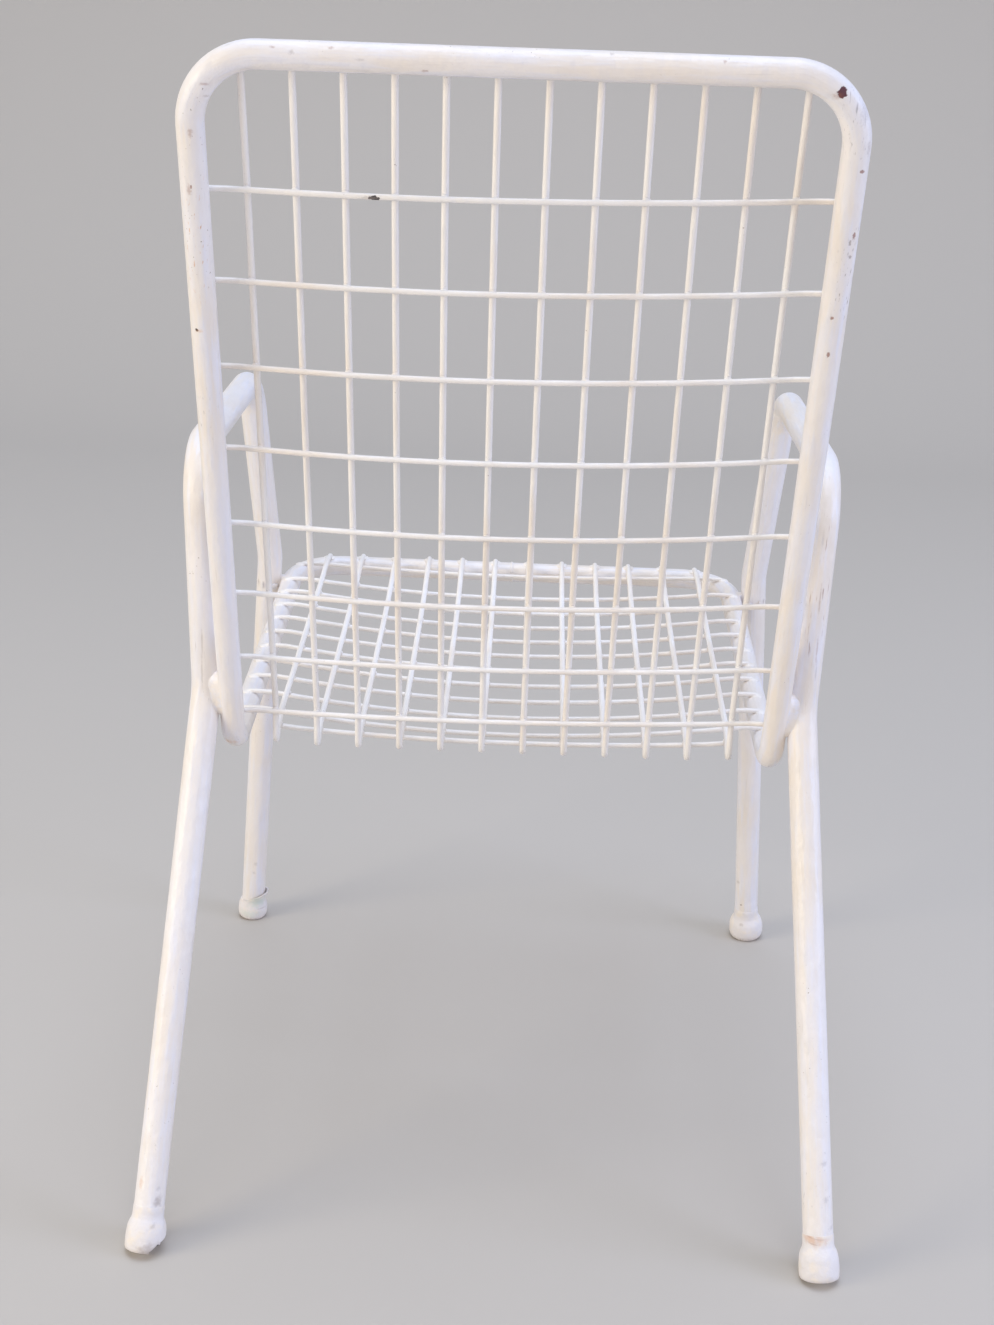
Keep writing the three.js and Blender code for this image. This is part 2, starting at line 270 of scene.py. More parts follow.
class ChairColours(bpy.types.PropertyGroup):
    """Colours of the paint, of what shows through it, and of the painted shade on a few marks"""

    paint: paint_colour("Enamel", "Fresh white enamel", (0.86, 0.825, 0.82))
    # Wire enamel: the tubes' enamel painted lighter, as painted light for the thin wires.
    wire_paint_painted_lighter: paint_colour("Wire Enamel", "Enamel on the wires", (0.90, 0.875, 0.855))
    thin_paint: paint_colour("Thin Enamel", "Enamel where the coat is thin", (0.855, 0.785, 0.715))
    cool_paint: paint_colour("Fresh Coat", "Patches of a later, whiter coat", (0.83, 0.82, 0.87))
    # Grime: dirt in the brush marks and specks, and painted shade on the torn foot cap and down the
    # left arm.
    grime_and_shade: paint_colour("Grime", "Dirt in the brush marks", (0.42, 0.36, 0.33))
    rust: paint_colour("Rust", "Rust round chipped paint", (0.30, 0.12, 0.08))
    stain: paint_colour("Rust Stain", "Paint stained by rust", (0.70, 0.43, 0.28))
    # Bare steel: near-black for the chips, and for the painted shade on the leg's end inside the torn
    # foot cap.
    bare_steel_and_shade: paint_colour("Bare Steel", "Dark steel where the paint has chipped", (0.035, 0.03, 0.035))
    maroon: paint_colour("Maroon Primer", "Primer that shows in the deepest chip", (0.11, 0.035, 0.045))
    scuff: paint_colour("Scuff", "Grey rubbed marks", (0.50, 0.47, 0.48))
    rubber: paint_colour("Foot Rubber", "White rubber of the foot caps", (0.80, 0.765, 0.765))
    algae: paint_colour("Algae", "Green film on the loosened foot cap", (0.60, 0.70, 0.62))
    floor: paint_colour("Floor", "Pale floor and backdrop", (0.54, 0.505, 0.46))


# Seat and back sheet

def place(x, reach, height):
    """A point from its width, its reach forward of the corner line and its height."""
    return Vector((x, CORNER_Y - reach, height))


def seat_point(x, length):
    return place(x, length * math.cos(SEAT_TILT), CORNER_HEIGHT + length * math.sin(SEAT_TILT))


def back_point(x, length):
    return place(x, -length * math.sin(BACK_RECLINE), CORNER_HEIGHT + length * math.cos(BACK_RECLINE))


HALF_WIDTH = LOOP_WIDTH / 2
BEND_TURN = math.pi / 2 - BACK_RECLINE + SEAT_TILT
BEND_TANGENT = SEAT_BACK_BEND * math.tan(BEND_TURN / 2)
SEAT_RUN = SEAT_LENGTH - BEND_TANGENT
BEND_RUN = SEAT_BACK_BEND * BEND_TURN
BACK_RUN = BACK_LENGTH - BEND_TANGENT
BEND_MIDDLE = SEAT_RUN + BEND_RUN / 2
FULL_RUN = SEAT_RUN + BEND_RUN + BACK_RUN
LOWEST_RUN = SEAT_RUN + BEND_DROP_PLACE_SHARE * BEND_RUN
OUTER_LONG_WIRE = HALF_WIDTH - MESH_SIDE_MARGIN
LONG_WIRE_PITCH = 2 * OUTER_LONG_WIRE / (LONG_WIRE_COUNT - 1)


def clamp(value, low, high):
    return max(low, min(value, high))


def run_of_back(length):
    """The run along the loop's tube for a length up the back."""
    short = max(BEND_TANGENT - length, 0)
    return SEAT_RUN + BEND_RUN + max(length - BEND_TANGENT, 0) - short * BEND_RUN / 2 / BEND_TANGENT


def sheet_point(x, run, rise):
    """A point of the sheet at a run from the front rail up the back, raised towards the sitter."""
    swing = clamp((run - SEAT_RUN) / SEAT_BACK_BEND, 0, BEND_TURN)
    facing = math.pi / 2 + SEAT_TILT - swing
    seat = Vector((math.cos(SEAT_TILT), math.sin(SEAT_TILT)))
    back = Vector((-math.sin(BACK_RECLINE), math.cos(BACK_RECLINE)))
    centre = seat * BEND_TANGENT + Vector((-seat.y, seat.x)) * SEAT_BACK_BEND
    point = centre + Vector((math.cos(facing), math.sin(facing))) * (rise - SEAT_BACK_BEND)
    point += seat * max(SEAT_RUN - run, 0) + back * max(run - SEAT_RUN - BEND_RUN, 0)
    return place(x, point.x, CORNER_HEIGHT + point.y)


def dish_depth(x, run):
    """How far the sheet sags below the side tubes."""
    rest = HALF_WIDTH - WIRE_REST_SHARE * sizes().loop_tube / 2
    across = max(1 - (x / rest) ** 2, 0)
    seat_share = clamp(run / SEAT_RUN, 0, 1)
    back_share = clamp((run - SEAT_RUN - BEND_RUN) / BACK_RUN, 0, 1)
    seat = SEAT_DISH * (1 - (1 - seat_share) ** SEAT_DISH_STEEPNESS)
    back = BACK_DISH * math.sin(math.pi * (BACK_DISH_START_SHARE + BACK_DISH_SPAN_SHARE * back_share))
    dish = seat if run < BEND_MIDDLE else back
    near = min(abs(run - LOWEST_RUN) / BEND_DROP_REACH, 1)
    drop = math.cos(near * math.pi / 2) ** 2
    level = max(1 - abs(x / rest) ** BEND_DROP_FLATNESS, 0)
    return dish * across * (1 - drop) + BEND_DROP * level * drop


def cross_rise():
    return sizes().loop_tube / 2 + sizes().cross_wire / 2 + WELD_GAP


def rail_wire_rise():
    return sizes().loop_tube / 2 + sizes().long_wire / 2 + WELD_GAP


def layer_step():
    return sizes().cross_wire / 2 + sizes().long_wire / 2 + WELD_GAP


def cross_wire_at(x, run):
    """A cross wire's centre line, sunk into the tube at its welded ends."""
    onto_rail = clamp((abs(x) - rail_x(run)) / RAIL_BITE_REACH + 1, 0, 1)
    bite = RAIL_BITE * onto_rail ** 2 * (3 - 2 * onto_rail)
    return sheet_point(x, run, cross_rise() - dish_depth(x, run) - bite)


def long_wire_at(x, run):
    """One layer nearer the sitter, square to the dish, with a blunt tip at the lowest place."""
    step = layer_step()
    lean = math.atan2(dish_depth(x, run + step) - dish_depth(x, run - step), 2 * step)
    tip = TIP_DROP * max(1 - abs(run - LOWEST_RUN) / TIP_REACH, 0)
    rise = cross_rise() - dish_depth(x, run) + step * math.cos(lean) - tip
    return sheet_point(x, run + step * math.sin(lean), rise)


def rail_x(run):
    """Half the width between the loop's two centre lines at a run, less at its rounded corners."""
    on_seat = run < BEND_MIDDLE
    bend = FRONT_CORNER_BEND if on_seat else TOP_CORNER_BEND
    end = SEAT_LENGTH - run if on_seat else run - SEAT_RUN - BEND_RUN + BEND_TANGENT
    full = SEAT_LENGTH if on_seat else BACK_LENGTH
    into = max(end - (full - bend), 0)
    return HALF_WIDTH - bend + math.sqrt(bend ** 2 - into ** 2)


def rail_drop(x, bend):
    """How far a rail has turned away from its straight at a width, near its corners."""
    into = max(abs(x) - (HALF_WIDTH - bend), 0)
    return bend - math.sqrt(bend ** 2 - into ** 2)


def long_wire_places():
    return [OUTER_LONG_WIRE - i * LONG_WIRE_PITCH for i in range(LONG_WIRE_COUNT)]


def back_wire_runs():
    return [run_of_back(share * BACK_LENGTH) for share in BACK_WIRE_SHARES]


def seat_wire_runs():
    """Runs of the seat's cross wires, from the front rail to the bend."""
    span = SEAT_LENGTH - SEAT_MESH_FRONT_MARGIN - SEAT_MESH_REAR_MARGIN
    even = [SEAT_MESH_FRONT_MARGIN + span * i / (SEAT_WIRE_COUNT - 1) for i in range(SEAT_WIRE_COUNT)]
    return [FRONT_RAIL_WIRE_INSET, *even, SEAT_LENGTH - REAR_CORNER_WIRE_INSET]


# Modelling helpers

def sizes():
    return bpy.context.scene.chair_sizes


def tint(name):
    """One of the chair's colours, with its alpha."""
    return (*getattr(bpy.context.scene.chair_colours, name), 1)


def select_only(*pieces):
    """Selects these pieces and makes the first of them active."""
    if bpy.context.object and bpy.context.object.mode != 'OBJECT':
        bpy.ops.object.mode_set(mode='OBJECT')
    bpy.ops.object.select_all(action='DESELECT')
    for piece in pieces:
        piece.select_set(True)
    if pieces:
        bpy.context.view_layer.objects.active = pieces[0]


def join(pieces):
    select_only(*pieces)
    bpy.ops.object.join()
    return bpy.context.object


def edit_all():
    """Opens the active piece's mesh with everything in it selected."""
    bpy.ops.object.mode_set(mode='EDIT')
    bpy.ops.mesh.select_all(action='SELECT')


def modify(piece, kind, **settings):
    """Adds a modifier with its settings to a piece and applies it."""
    modifier = piece.modifiers.new(kind.title(), kind)
    for label, value in settings.items():
        setattr(modifier, label, value)
    select_only(piece)
    bpy.ops.object.modifier_apply(modifier=modifier.name)


def named_piece(name):
    """The piece that was just added, under its name."""
    piece = bpy.context.object
    piece.name = name
    return piece


def keep_place_in_mesh(piece):
    """Puts the piece's place into its mesh, so that its object sits at the origin."""
    select_only(piece)
    bpy.ops.object.transform_apply(location=True, rotation=True, scale=True)


def close_and_smooth(piece):
    """Merges doubled points, closes open ends, turns the faces outwards and shades the piece smooth."""
    select_only(piece)
    edit_all()
    bpy.ops.mesh.remove_doubles(threshold=MERGE)
    bpy.ops.mesh.select_all(action='SELECT')
    bpy.ops.mesh.fill_holes(sides=0)
    bpy.ops.mesh.select_all(action='SELECT')
    bpy.ops.mesh.normals_make_consistent(inside=False)
    bpy.ops.object.mode_set(mode='OBJECT')
    bpy.ops.object.shade_smooth_by_angle(angle=SMOOTH_ANGLE)


def follow_brush(piece, points):
    """Stores each point's place off the centre line and along it, which the brush marks follow."""
    tree = KDTree(len(points))
    lengths = [0]
    for i, point in enumerate(points):
        tree.insert(point, i)
        if i:
            lengths.append(lengths[-1] + (point - points[i - 1]).length)
    tree.balance()
    off_line, along = [], []
    for vertex in piece.data.vertices:
        centre, i, _ = tree.find(vertex.co)
        way = (points[min(i + 1, len(points) - 1)] - points[max(i - 1, 0)]).normalized()
        ahead = (vertex.co - centre).dot(way)
        off_line += list((vertex.co - centre) - way * ahead)
        along.append(lengths[i] + ahead)
    piece.data.attributes.new("off_line", 'FLOAT_VECTOR', 'POINT').data.foreach_set("vector", off_line)
    piece.data.attributes.new("along", 'FLOAT', 'POINT').data.foreach_set("value", along)


def dress(piece, material, *nodes, slot="white_enamelled_steel"):
    """Gives a finished piece its material and body, and hides the CAD nodes it stands for; the slot is
    not used.
    """
    piece.data.materials.clear()
    piece.data.materials.append(material)
    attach(piece, "root")
    if nodes:
        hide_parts(*nodes)


def bends_of(corners):
    """Start, centre, axis, turn and end of each inner corner's bend."""
    found = []
    for (before, _), (corner, bend), (after, _) in zip(corners, corners[1:], corners[2:]):
        back = (before - corner).normalized()
        ahead = (after - corner).normalized()
        half = back.angle(ahead) / 2
        centre = corner + (back + ahead).normalized() * bend / math.sin(half)
        start = corner + back * bend / math.tan(half)
        end = corner + ahead * bend / math.tan(half)
        axis = ahead.cross(back).normalized()
        found.append((start, centre, axis, math.pi - 2 * half, end))
    return found


def bent_points(corners):
    """Points along the centre line of a bent tube."""
    points = []
    at = corners[0][0]
    for start, centre, axis, turn, end in bends_of(corners):
        points += straight_points(at, start)
        steps = math.ceil(turn / SPIN_STEP)
        for k in range(1, steps):
            points.append(centre + Matrix.Rotation(turn * k / steps, 3, axis) @ (start - centre))
        at = end
    return points + straight_points(at, corners[-1][0])


def straight_steps(start, end):
    return max(1, round((end - start).length / TUBE_STEP))


def straight_points(start, end):
    steps = straight_steps(start, end)
    return [start.lerp(end, k / steps) for k in range(steps + 1)]


def extrude_straight(start, end):
    steps = straight_steps(start, end)
    for _ in range(steps):
        bpy.ops.mesh.extrude_region_move(TRANSFORM_OT_translate={"value": (end - start) / steps})


def bend_tube(name, corners, radius):
    """Draws a ring along the route: extruded down each straight and spun round each bend."""
    select_only()
    heading = (corners[1][0] - corners[0][0]).normalized()
    bpy.ops.mesh.primitive_circle_add(
        vertices=TUBE_SIDES, radius=radius, location=corners[0][0],
        rotation=heading.to_track_quat('Z', 'Y').to_euler())
    tube = named_piece(name)
    edit_all()
    at = corners[0][0]
    for start, centre, axis, turn, end in bends_of(corners):
        extrude_straight(at, start)
        steps = math.ceil(turn / SPIN_STEP)
        bpy.ops.mesh.spin(steps=steps, angle=-turn, center=centre, axis=axis)
        at = end
    extrude_straight(at, corners[-1][0])
    bpy.ops.object.mode_set(mode='OBJECT')
    keep_place_in_mesh(tube)
    close_and_smooth(tube)
    follow_brush(tube, bent_points(corners))
    return tube


def draw_wire(name, points, radius, thinning=()):
    """Draws a round wire through the points, thinner by these shares from each end inwards."""
    select_only()
    bpy.ops.curve.primitive_nurbs_path_add()
    line = named_piece(name).data
    line.splines.clear()
    spline = line.splines.new('POLY')
    spline.points.add(len(points) - 1)
    for knot, point in zip(spline.points, points):
        knot.co = (*point, 1.0)
        knot.radius = 1
    for i, share in enumerate(thinning):
        spline.points[i].radius = 1 - share
        spline.points[-1 - i].radius = 1 - share
    line.bevel_depth = radius
    line.bevel_resolution = WIRE_ROUNDNESS
    line.use_fill_caps = True
    bpy.ops.object.convert(target='MESH')
    wire = bpy.context.object
    close_and_smooth(wire)
    follow_brush(wire, points)
    return wire


def round_corners(points):
    """Cuts the corners of a chain of points, keeping its two ends."""
    cut = [points[0]]
    for a, b in zip(points, points[1:]):
        cut += [a.lerp(b, CORNER_CUT), a.lerp(b, 1 - CORNER_CUT)]
    return [*cut, points[-1]]


def make_blob(name, radii, lumps, seed):
    """A lump of weld under paint: a ball drawn out to its radii and made uneven."""
    select_only()
    bpy.ops.mesh.primitive_uv_sphere_add(segments=BLOB_SIDES, ring_count=BLOB_RINGS, radius=1)
    blob = named_piece(name)
    edit_all()
    bpy.ops.transform.resize(value=radii, center_override=(0, 0, 0))
    bpy.ops.transform.vertex_random(offset=lumps * min(radii), seed=seed)
    bpy.ops.object.mode_set(mode='OBJECT')
    bpy.ops.object.shade_smooth()
    return blob


def scatter(name, model, spots):
    """Copies a model to each spot, a 4x4 matrix, and joins the copies as one piece."""
    copies = []
    for spot in spots:
        copy = model.copy()
        copy.data = model.data.copy()
        copy.matrix_world = spot
        bpy.context.scene.collection.objects.link(copy)
        copies.append(copy)
    bpy.data.objects.remove(model)
    piece = join(copies)
    piece.name = name
    keep_place_in_mesh(piece)
    return piece


def pose_at(point, along, facing):
    """A matrix at a point with its X along one way and its Z towards another."""
    x = along.normalized()
    y = facing.cross(x).normalized()
    z = x.cross(y)
    return Matrix.Translation(point) @ Matrix((x, y, z)).transposed().to_4x4()


# Camera of the photograph

def camera_axes():
    """Right, down and forward of the photograph's camera in the chair's frame."""
    forward = Vector((
        -math.sin(CAMERA_YAW) * math.cos(CAMERA_PITCH),
        -math.cos(CAMERA_YAW) * math.cos(CAMERA_PITCH),
        -math.sin(CAMERA_PITCH)))
    right = Vector((-math.cos(CAMERA_YAW), math.sin(CAMERA_YAW), 0))
    down = forward.cross(right)
    turned_right = right * math.cos(CAMERA_ROLL) - down * math.sin(CAMERA_ROLL)
    turned_down = right * math.sin(CAMERA_ROLL) + down * math.cos(CAMERA_ROLL)
    return turned_right, turned_down, forward


def seen_point(piece, pixel):
    """The point of a piece that the photograph's camera sees at a pixel."""
    right, down, forward = camera_axes()
    for shift in sorted(range(-SEARCH_PIXELS, SEARCH_PIXELS + 1), key=abs):
        across = (pixel[0] + shift - PHOTO_WIDTH / 2) / FOCAL_PIXELS
        below = (pixel[1] - PHOTO_HEIGHT / 2) / FOCAL_PIXELS
        ray = (forward + right * across + down * below).normalized()
        hit, point, _, _ = piece.ray_cast(CAMERA_PLACE, ray)
        if hit:
            return point
    raise RuntimeError(f"{piece.name} isn't seen near pixel {pixel}")


# Materials

# Noise: scale, detail and stretch
TONE_DRIFT = (9, 3)
PAINT_RUNS = (85, 3, (1, 1, 0.6))
SPECKS = (560, 1)
SPECK_PLACES = (14, 2)
SCRATCH_LINES = (700, 4, (1, 1, 0.06))
RUBBER_TONE = (90, 4)
RUBBER_LUMPS = (130, 3)
RUBBER_GRIT = (700, 2)
# Brush streaks: scale, stretch along the tube and detail
BROAD_STREAKS = (150, 0.12, 3)
FINE_STREAKS = (480, 0.06, 3)
# Where masks start and end
THIN_PAINT_STEP = (0.36, 0.68)
FRESH_COAT_STEP = (0.42, 0.70)
SPECK_STEP = (0.73, 0.78)
SPECK_PLACE_STEP = (0.54, 0.68)
CAUGHT_DIRT_STEP = (0.60, 0.82)
RUBBER_TONE_STEP = (0.45, 0.7)
SOLE_DUST_STEP = (0.007, 0.0)
SOLE_GRIT_STEP = (0.35, 0.7)
# Shares and roughness
CAUGHT_DIRT = 0.22
GLOSS = 0.27
STREAK_ROUGHNESS = 0.25
DIRT_ROUGHNESS = 0.3
WORN_ROUGHNESS = 0.25
RUBBER_ROUGHNESS = 0.6
FLOOR_ROUGHNESS = 0.9
SOLE_DUST = 0.8
MARK_DETAIL = 3
MARK_RAG_REACH = 4
RUN_RELIEF = 0.9
STREAK_RELIEF = 0.5
FINE_RELIEF = 0.12
MARK_RELIEF = 0.15
SCRATCH_THRESHOLD = 0.74
SCRATCH_REACH = -0.3
SCRATCH_CONTRAST = 9
# Bump: strength and distance
ENAMEL_BUMP = (0.8, 0.0024)
RUBBER_BUMP = (0.6, 0.002)
# Raggedness, grain, softness and strength of the kinds of mark
KINDS = {
    "chip": (0.40, 420, 0.20, 1.0),
    "speck": (0.50, 700, 0.60, 0.75),
    "smudge": (0.60, 600, 1.6, 0.40),
    "line": (0.45, 300, 1.4, 0.30),
    "stain": (0.55, 260, 1.8, 0.65),
}
PATCH_EDGE = {"Raggedness": 0.2, "Grain": 60, "Softness": 0.9}

VECTOR = 'NodeSocketVector'
FLOAT = 'NodeSocketFloat'
COLOUR = 'NodeSocketColor'
SPOT_SOCKETS = (
    ("Vector", VECTOR, (0, 0, 0)), ("Centre", VECTOR, (0, 0, 0)), ("Radii", VECTOR, (0.01, 0.01, 0.01)))


def new_group(name, inputs, outputs):
    """An empty shader node group with its named sockets, and its input and output nodes."""
    group = bpy.data.node_groups.new(name, 'ShaderNodeTree')
    for label, kind, default in inputs:
        group.interface.new_socket(label, in_out='INPUT', socket_type=kind).default_value = default
    for label, kind in outputs:
        group.interface.new_socket(label, in_out='OUTPUT', socket_type=kind)
    entry = group.nodes.new('NodeGroupInput')
    leave = group.nodes.new('NodeGroupOutput')
    return group, entry.outputs, leave.inputs


def add_node(tree, kind, inputs, **settings):
    """A node with its settings, whose inputs are linked to sockets or set to values."""
    node = tree.nodes.new(kind)
    for label, value in settings.items():
        setattr(node, label, value)
    for label, value in inputs.items():
        if isinstance(value, bpy.types.NodeSocket):
            tree.links.new(value, node.inputs[label])
        else:
            node.inputs[label].default_value = value
    return node


def add_group(tree, name, inputs):
    return add_node(tree, 'ShaderNodeGroup', inputs, node_tree=bpy.data.node_groups[name]).outputs


def add_noise(tree, vector, scale, detail, stretch=(1, 1, 1)):
    """Noise on a vector, drawn out by a stretch."""
    mapping = add_node(tree, 'ShaderNodeMapping', {"Vector": vector, "Scale": stretch})
    inputs = {"Vector": mapping.outputs["Vector"], "Scale": scale, "Detail": detail}
    return add_node(tree, 'ShaderNodeTexNoise', inputs).outputs["Fac"]


def add_streaks(tree, off_line, along, scale, stretch, detail):
    """Noise drawn out along the tube that a brush followed."""
    inputs = {"Vector": off_line, "W": add_math(tree, 'MULTIPLY', along, stretch), "Scale": scale,
              "Detail": detail}
    return add_node(tree, 'ShaderNodeTexNoise', inputs, noise_dimensions='4D').outputs["Fac"]


def add_step(tree, value, low, high):
    """A value turned into a mask that rises from 0 at low to 1 at high."""
    inputs = {"Value": value, "From Min": low, "From Max": high}
    node = add_node(tree, 'ShaderNodeMapRange', inputs, interpolation_type='SMOOTHSTEP')
    return node.outputs["Result"]


def add_patches(tree, vector, noise, step):
    """A mask of the places where a noise is high."""
    return add_step(tree, add_noise(tree, vector, *noise), *step)


def add_math(tree, kind, *values, clamped=False):
    """A math node on sockets or numbers."""
    node = add_node(tree, 'ShaderNodeMath', dict(enumerate(values)), operation=kind, use_clamp=clamped)
    return node.outputs["Value"]


def add_vector_math(tree, kind, a, b, output="Vector"):
    return add_node(tree, 'ShaderNodeVectorMath', {0: a, 1: b}, operation=kind).outputs[output]


def add_mix(tree, factor, a, b):
    """A colour mixed from two sockets or colours."""
    return add_node(tree, 'ShaderNodeMix', {0: factor, 6: a, 7: b}, data_type='RGBA').outputs[2]


def build_enamel_group():
    """Brushed enamel: tone that drifts over the surface, brush ridges, runs and caught dirt."""
    white = (1, 1, 1, 1)
    group, given, result = new_group(
        "Brushed Enamel",
        [("Vector", VECTOR, (0, 0, 0)), ("Off Line", VECTOR, (0, 0, 0)), ("Along", FLOAT, 0.0),
         ("Paint", COLOUR, white), ("Thin Paint", COLOUR, white), ("Fresh Coat", COLOUR, white),
         ("Grime", COLOUR, (0, 0, 0, 1)), ("Dirt", FLOAT, 1.0)],
        [("Color", COLOUR), ("Roughness", FLOAT), ("Height", FLOAT)])
    vector = given["Vector"]
    broad = add_streaks(group, given["Off Line"], given["Along"], *BROAD_STREAKS)
    fine = add_streaks(group, given["Off Line"], given["Along"], *FINE_STREAKS)
    runs = add_noise(group, vector, *PAINT_RUNS)
    specks = add_patches(group, vector, SPECKS, SPECK_STEP)
    speck_places = add_patches(group, vector, SPECK_PLACES, SPECK_PLACE_STEP)
    thin = add_patches(group, vector, TONE_DRIFT, THIN_PAINT_STEP)
    tone = add_mix(group, thin, given["Paint"], given["Thin Paint"])
    tone = add_mix(group, add_step(group, broad, *FRESH_COAT_STEP), tone, given["Fresh Coat"])
    speck = add_math(group, 'MULTIPLY', specks, speck_places)
    caught = add_math(group, 'MULTIPLY', add_step(group, fine, *CAUGHT_DIRT_STEP), CAUGHT_DIRT)
    dirt = add_math(group, 'MULTIPLY', add_math(group, 'MAXIMUM', speck, caught), given["Dirt"])
    rough = add_math(group, 'MULTIPLY_ADD', broad, STREAK_ROUGHNESS, GLOSS)
    height = add_math(group, 'MULTIPLY', runs, RUN_RELIEF)
    height = add_math(group, 'MULTIPLY_ADD', broad, STREAK_RELIEF, height)
    group.links.new(add_mix(group, dirt, tone, given["Grime"]), result["Color"])
    group.links.new(add_math(group, 'MULTIPLY_ADD', dirt, DIRT_ROUGHNESS, rough), result["Roughness"])
    group.links.new(add_math(group, 'MULTIPLY_ADD', fine, FINE_RELIEF, height), result["Height"])


def build_mark_group():
    """The mask of one mark of wear, dirt or painted shade: an oval with a ragged edge about a centre.
    """
    group, given, result = new_group(
        "Wear And Shade Mark",
        [*SPOT_SOCKETS, ("Raggedness", FLOAT, 0.6), ("Grain", FLOAT, 500.0), ("Softness", FLOAT, 0.15)],
        [("Mask", FLOAT)])
    away = add_vector_math(group, 'SUBTRACT', given["Vector"], given["Centre"])
    scaled = add_vector_math(group, 'DIVIDE', away, given["Radii"])
    distance = add_vector_math(group, 'LENGTH', scaled, (0, 0, 0), output="Value")
    inputs = {"Vector": given["Vector"], "Scale": given["Grain"], "Detail": MARK_DETAIL}
    noise = add_node(group, 'ShaderNodeTexNoise', inputs).outputs["Fac"]
    ragged = add_math(group, 'MULTIPLY', add_math(group, 'SUBTRACT', noise, 0.5),
                      add_math(group, 'MULTIPLY', given["Raggedness"], MARK_RAG_REACH))
    inside = add_math(group, 'SUBTRACT', 1, add_math(group, 'ADD', distance, ragged))
    soft = add_math(group, 'DIVIDE', inside, given["Softness"])
    group.links.new(add_step(group, soft, -0.5, 0.5), result["Mask"])


def build_scratch_group():
    """The mask of scratches that run down the surface within an oval patch."""
    group, given, result = new_group(
        "Scratched Patch", [*SPOT_SOCKETS, ("Amount", FLOAT, 0.5)], [("Mask", FLOAT)])
    where = {label: given[label] for label, _, _ in SPOT_SOCKETS}
    patch = add_group(group, "Wear And Shade Mark", {**where, **PATCH_EDGE})["Mask"]
    lines = add_noise(group, given["Vector"], *SCRATCH_LINES)
    low = add_math(group, 'MULTIPLY_ADD', given["Amount"], SCRATCH_REACH, SCRATCH_THRESHOLD)
    over = add_math(group, 'MULTIPLY', add_math(group, 'SUBTRACT', lines, low), SCRATCH_CONTRAST,
                    clamped=True)
    group.links.new(add_math(group, 'MULTIPLY', over, patch), result["Mask"])


def add_mark(tree, where, centre, radii, rag, grain, soft, share):
    """The mask of one mark of wear, dirt or painted shade at its strength."""
    inputs = {"Vector": where, "Centre": centre, "Radii": radii, "Raggedness": rag, "Grain": grain,
              "Softness": soft}
    return add_math(tree, 'MULTIPLY', add_group(tree, "Wear And Shade Mark", inputs)["Mask"], share)


def new_material(name):
    """A material, its tree and its shader."""
    material = bpy.data.materials.new(name)
    material.use_nodes = True
    return material, material.node_tree, material.node_tree.nodes["Principled BSDF"]


def add_bump(tree, shader, height, strength, distance):
    inputs = {"Height": height, "Strength": strength, "Distance": distance}
    bump = add_node(tree, 'ShaderNodeBump', inputs)
    tree.links.new(bump.outputs["Normal"], shader.inputs["Normal"])


def enamel_material(name, marks=(), patches=(), dirt=1.0, brushed=True, on_wire=False):
    """Brushed enamel with its own marks and scratched patches."""
    material, tree, shader = new_material(name)
    where = add_node(tree, 'ShaderNodeTexCoord', {}).outputs["Object"]
    # On the wires, the paint and the fresh coat are the lighter wire enamel, painted light.
    inputs = {"Vector": where, "Off Line": where, "Grime": tint("grime_and_shade"), "Dirt": dirt,
              "Paint": tint("wire_paint_painted_lighter" if on_wire else "paint"), "Thin Paint": tint("thin_paint"),
              "Fresh Coat": tint("wire_paint_painted_lighter" if on_wire else "cool_paint")}
    if brushed:
        for label, kept, output in (("Off Line", "off_line", "Vector"), ("Along", "along", "Fac")):
            node = add_node(tree, 'ShaderNodeAttribute', {}, attribute_name=kept)
            inputs[label] = node.outputs[output]
    enamel = add_group(tree, "Brushed Enamel", inputs)
    colour_now, rough, height = enamel["Color"], enamel["Roughness"], enamel["Height"]
    for centre, radii, shade, worn in (*patches, *marks):
        if worn in KINDS:
            mask = add_mark(tree, where, centre, radii, *KINDS[worn])
            height = add_math(tree, 'MULTIPLY_ADD', mask, -MARK_RELIEF, height)
        else:
            inputs = {"Vector": where, "Centre": centre, "Radii": radii, "Amount": worn}
            mask = add_group(tree, "Scratched Patch", inputs)["Mask"]
        colour_now = add_mix(tree, mask, colour_now, tint(shade))
        rough = add_math(tree, 'MULTIPLY_ADD', mask, WORN_ROUGHNESS, rough)
    tree.links.new(colour_now, shader.inputs["Base Color"])
    tree.links.new(rough, shader.inputs["Roughness"])
    add_bump(tree, shader, height, *ENAMEL_BUMP)
    return material


def rubber_material(name, stains_and_shade=()):
    """White rubber, scuffed and grey at the sole, with its own stains and painted shadow."""
    material, tree, shader = new_material(name)
    where = add_node(tree, 'ShaderNodeTexCoord', {}).outputs["Object"]
    tone = add_patches(tree, where, RUBBER_TONE, RUBBER_TONE_STEP)
    grit = add_patches(tree, where, RUBBER_GRIT, SOLE_GRIT_STEP)
    level = add_node(tree, 'ShaderNodeSeparateXYZ', {"Vector": where}).outputs["Z"]
    dust = add_math(tree, 'MULTIPLY', add_step(tree, level, *SOLE_DUST_STEP), grit)
    colour_now = add_mix(tree, tone, tint("rubber"), tint("thin_paint"))
    colour_now = add_mix(tree, add_math(tree, 'MULTIPLY', dust, SOLE_DUST), colour_now, tint("grime_and_shade"))
    for centre, radii, shade, kind in stains_and_shade:
        mask = add_mark(tree, where, centre, radii, *KINDS[kind])
        colour_now = add_mix(tree, mask, colour_now, tint(shade))
    tree.links.new(colour_now, shader.inputs["Base Color"])
    shader.inputs["Roughness"].default_value = RUBBER_ROUGHNESS
    add_bump(tree, shader, add_noise(tree, where, *RUBBER_LUMPS), *RUBBER_BUMP)
    return material


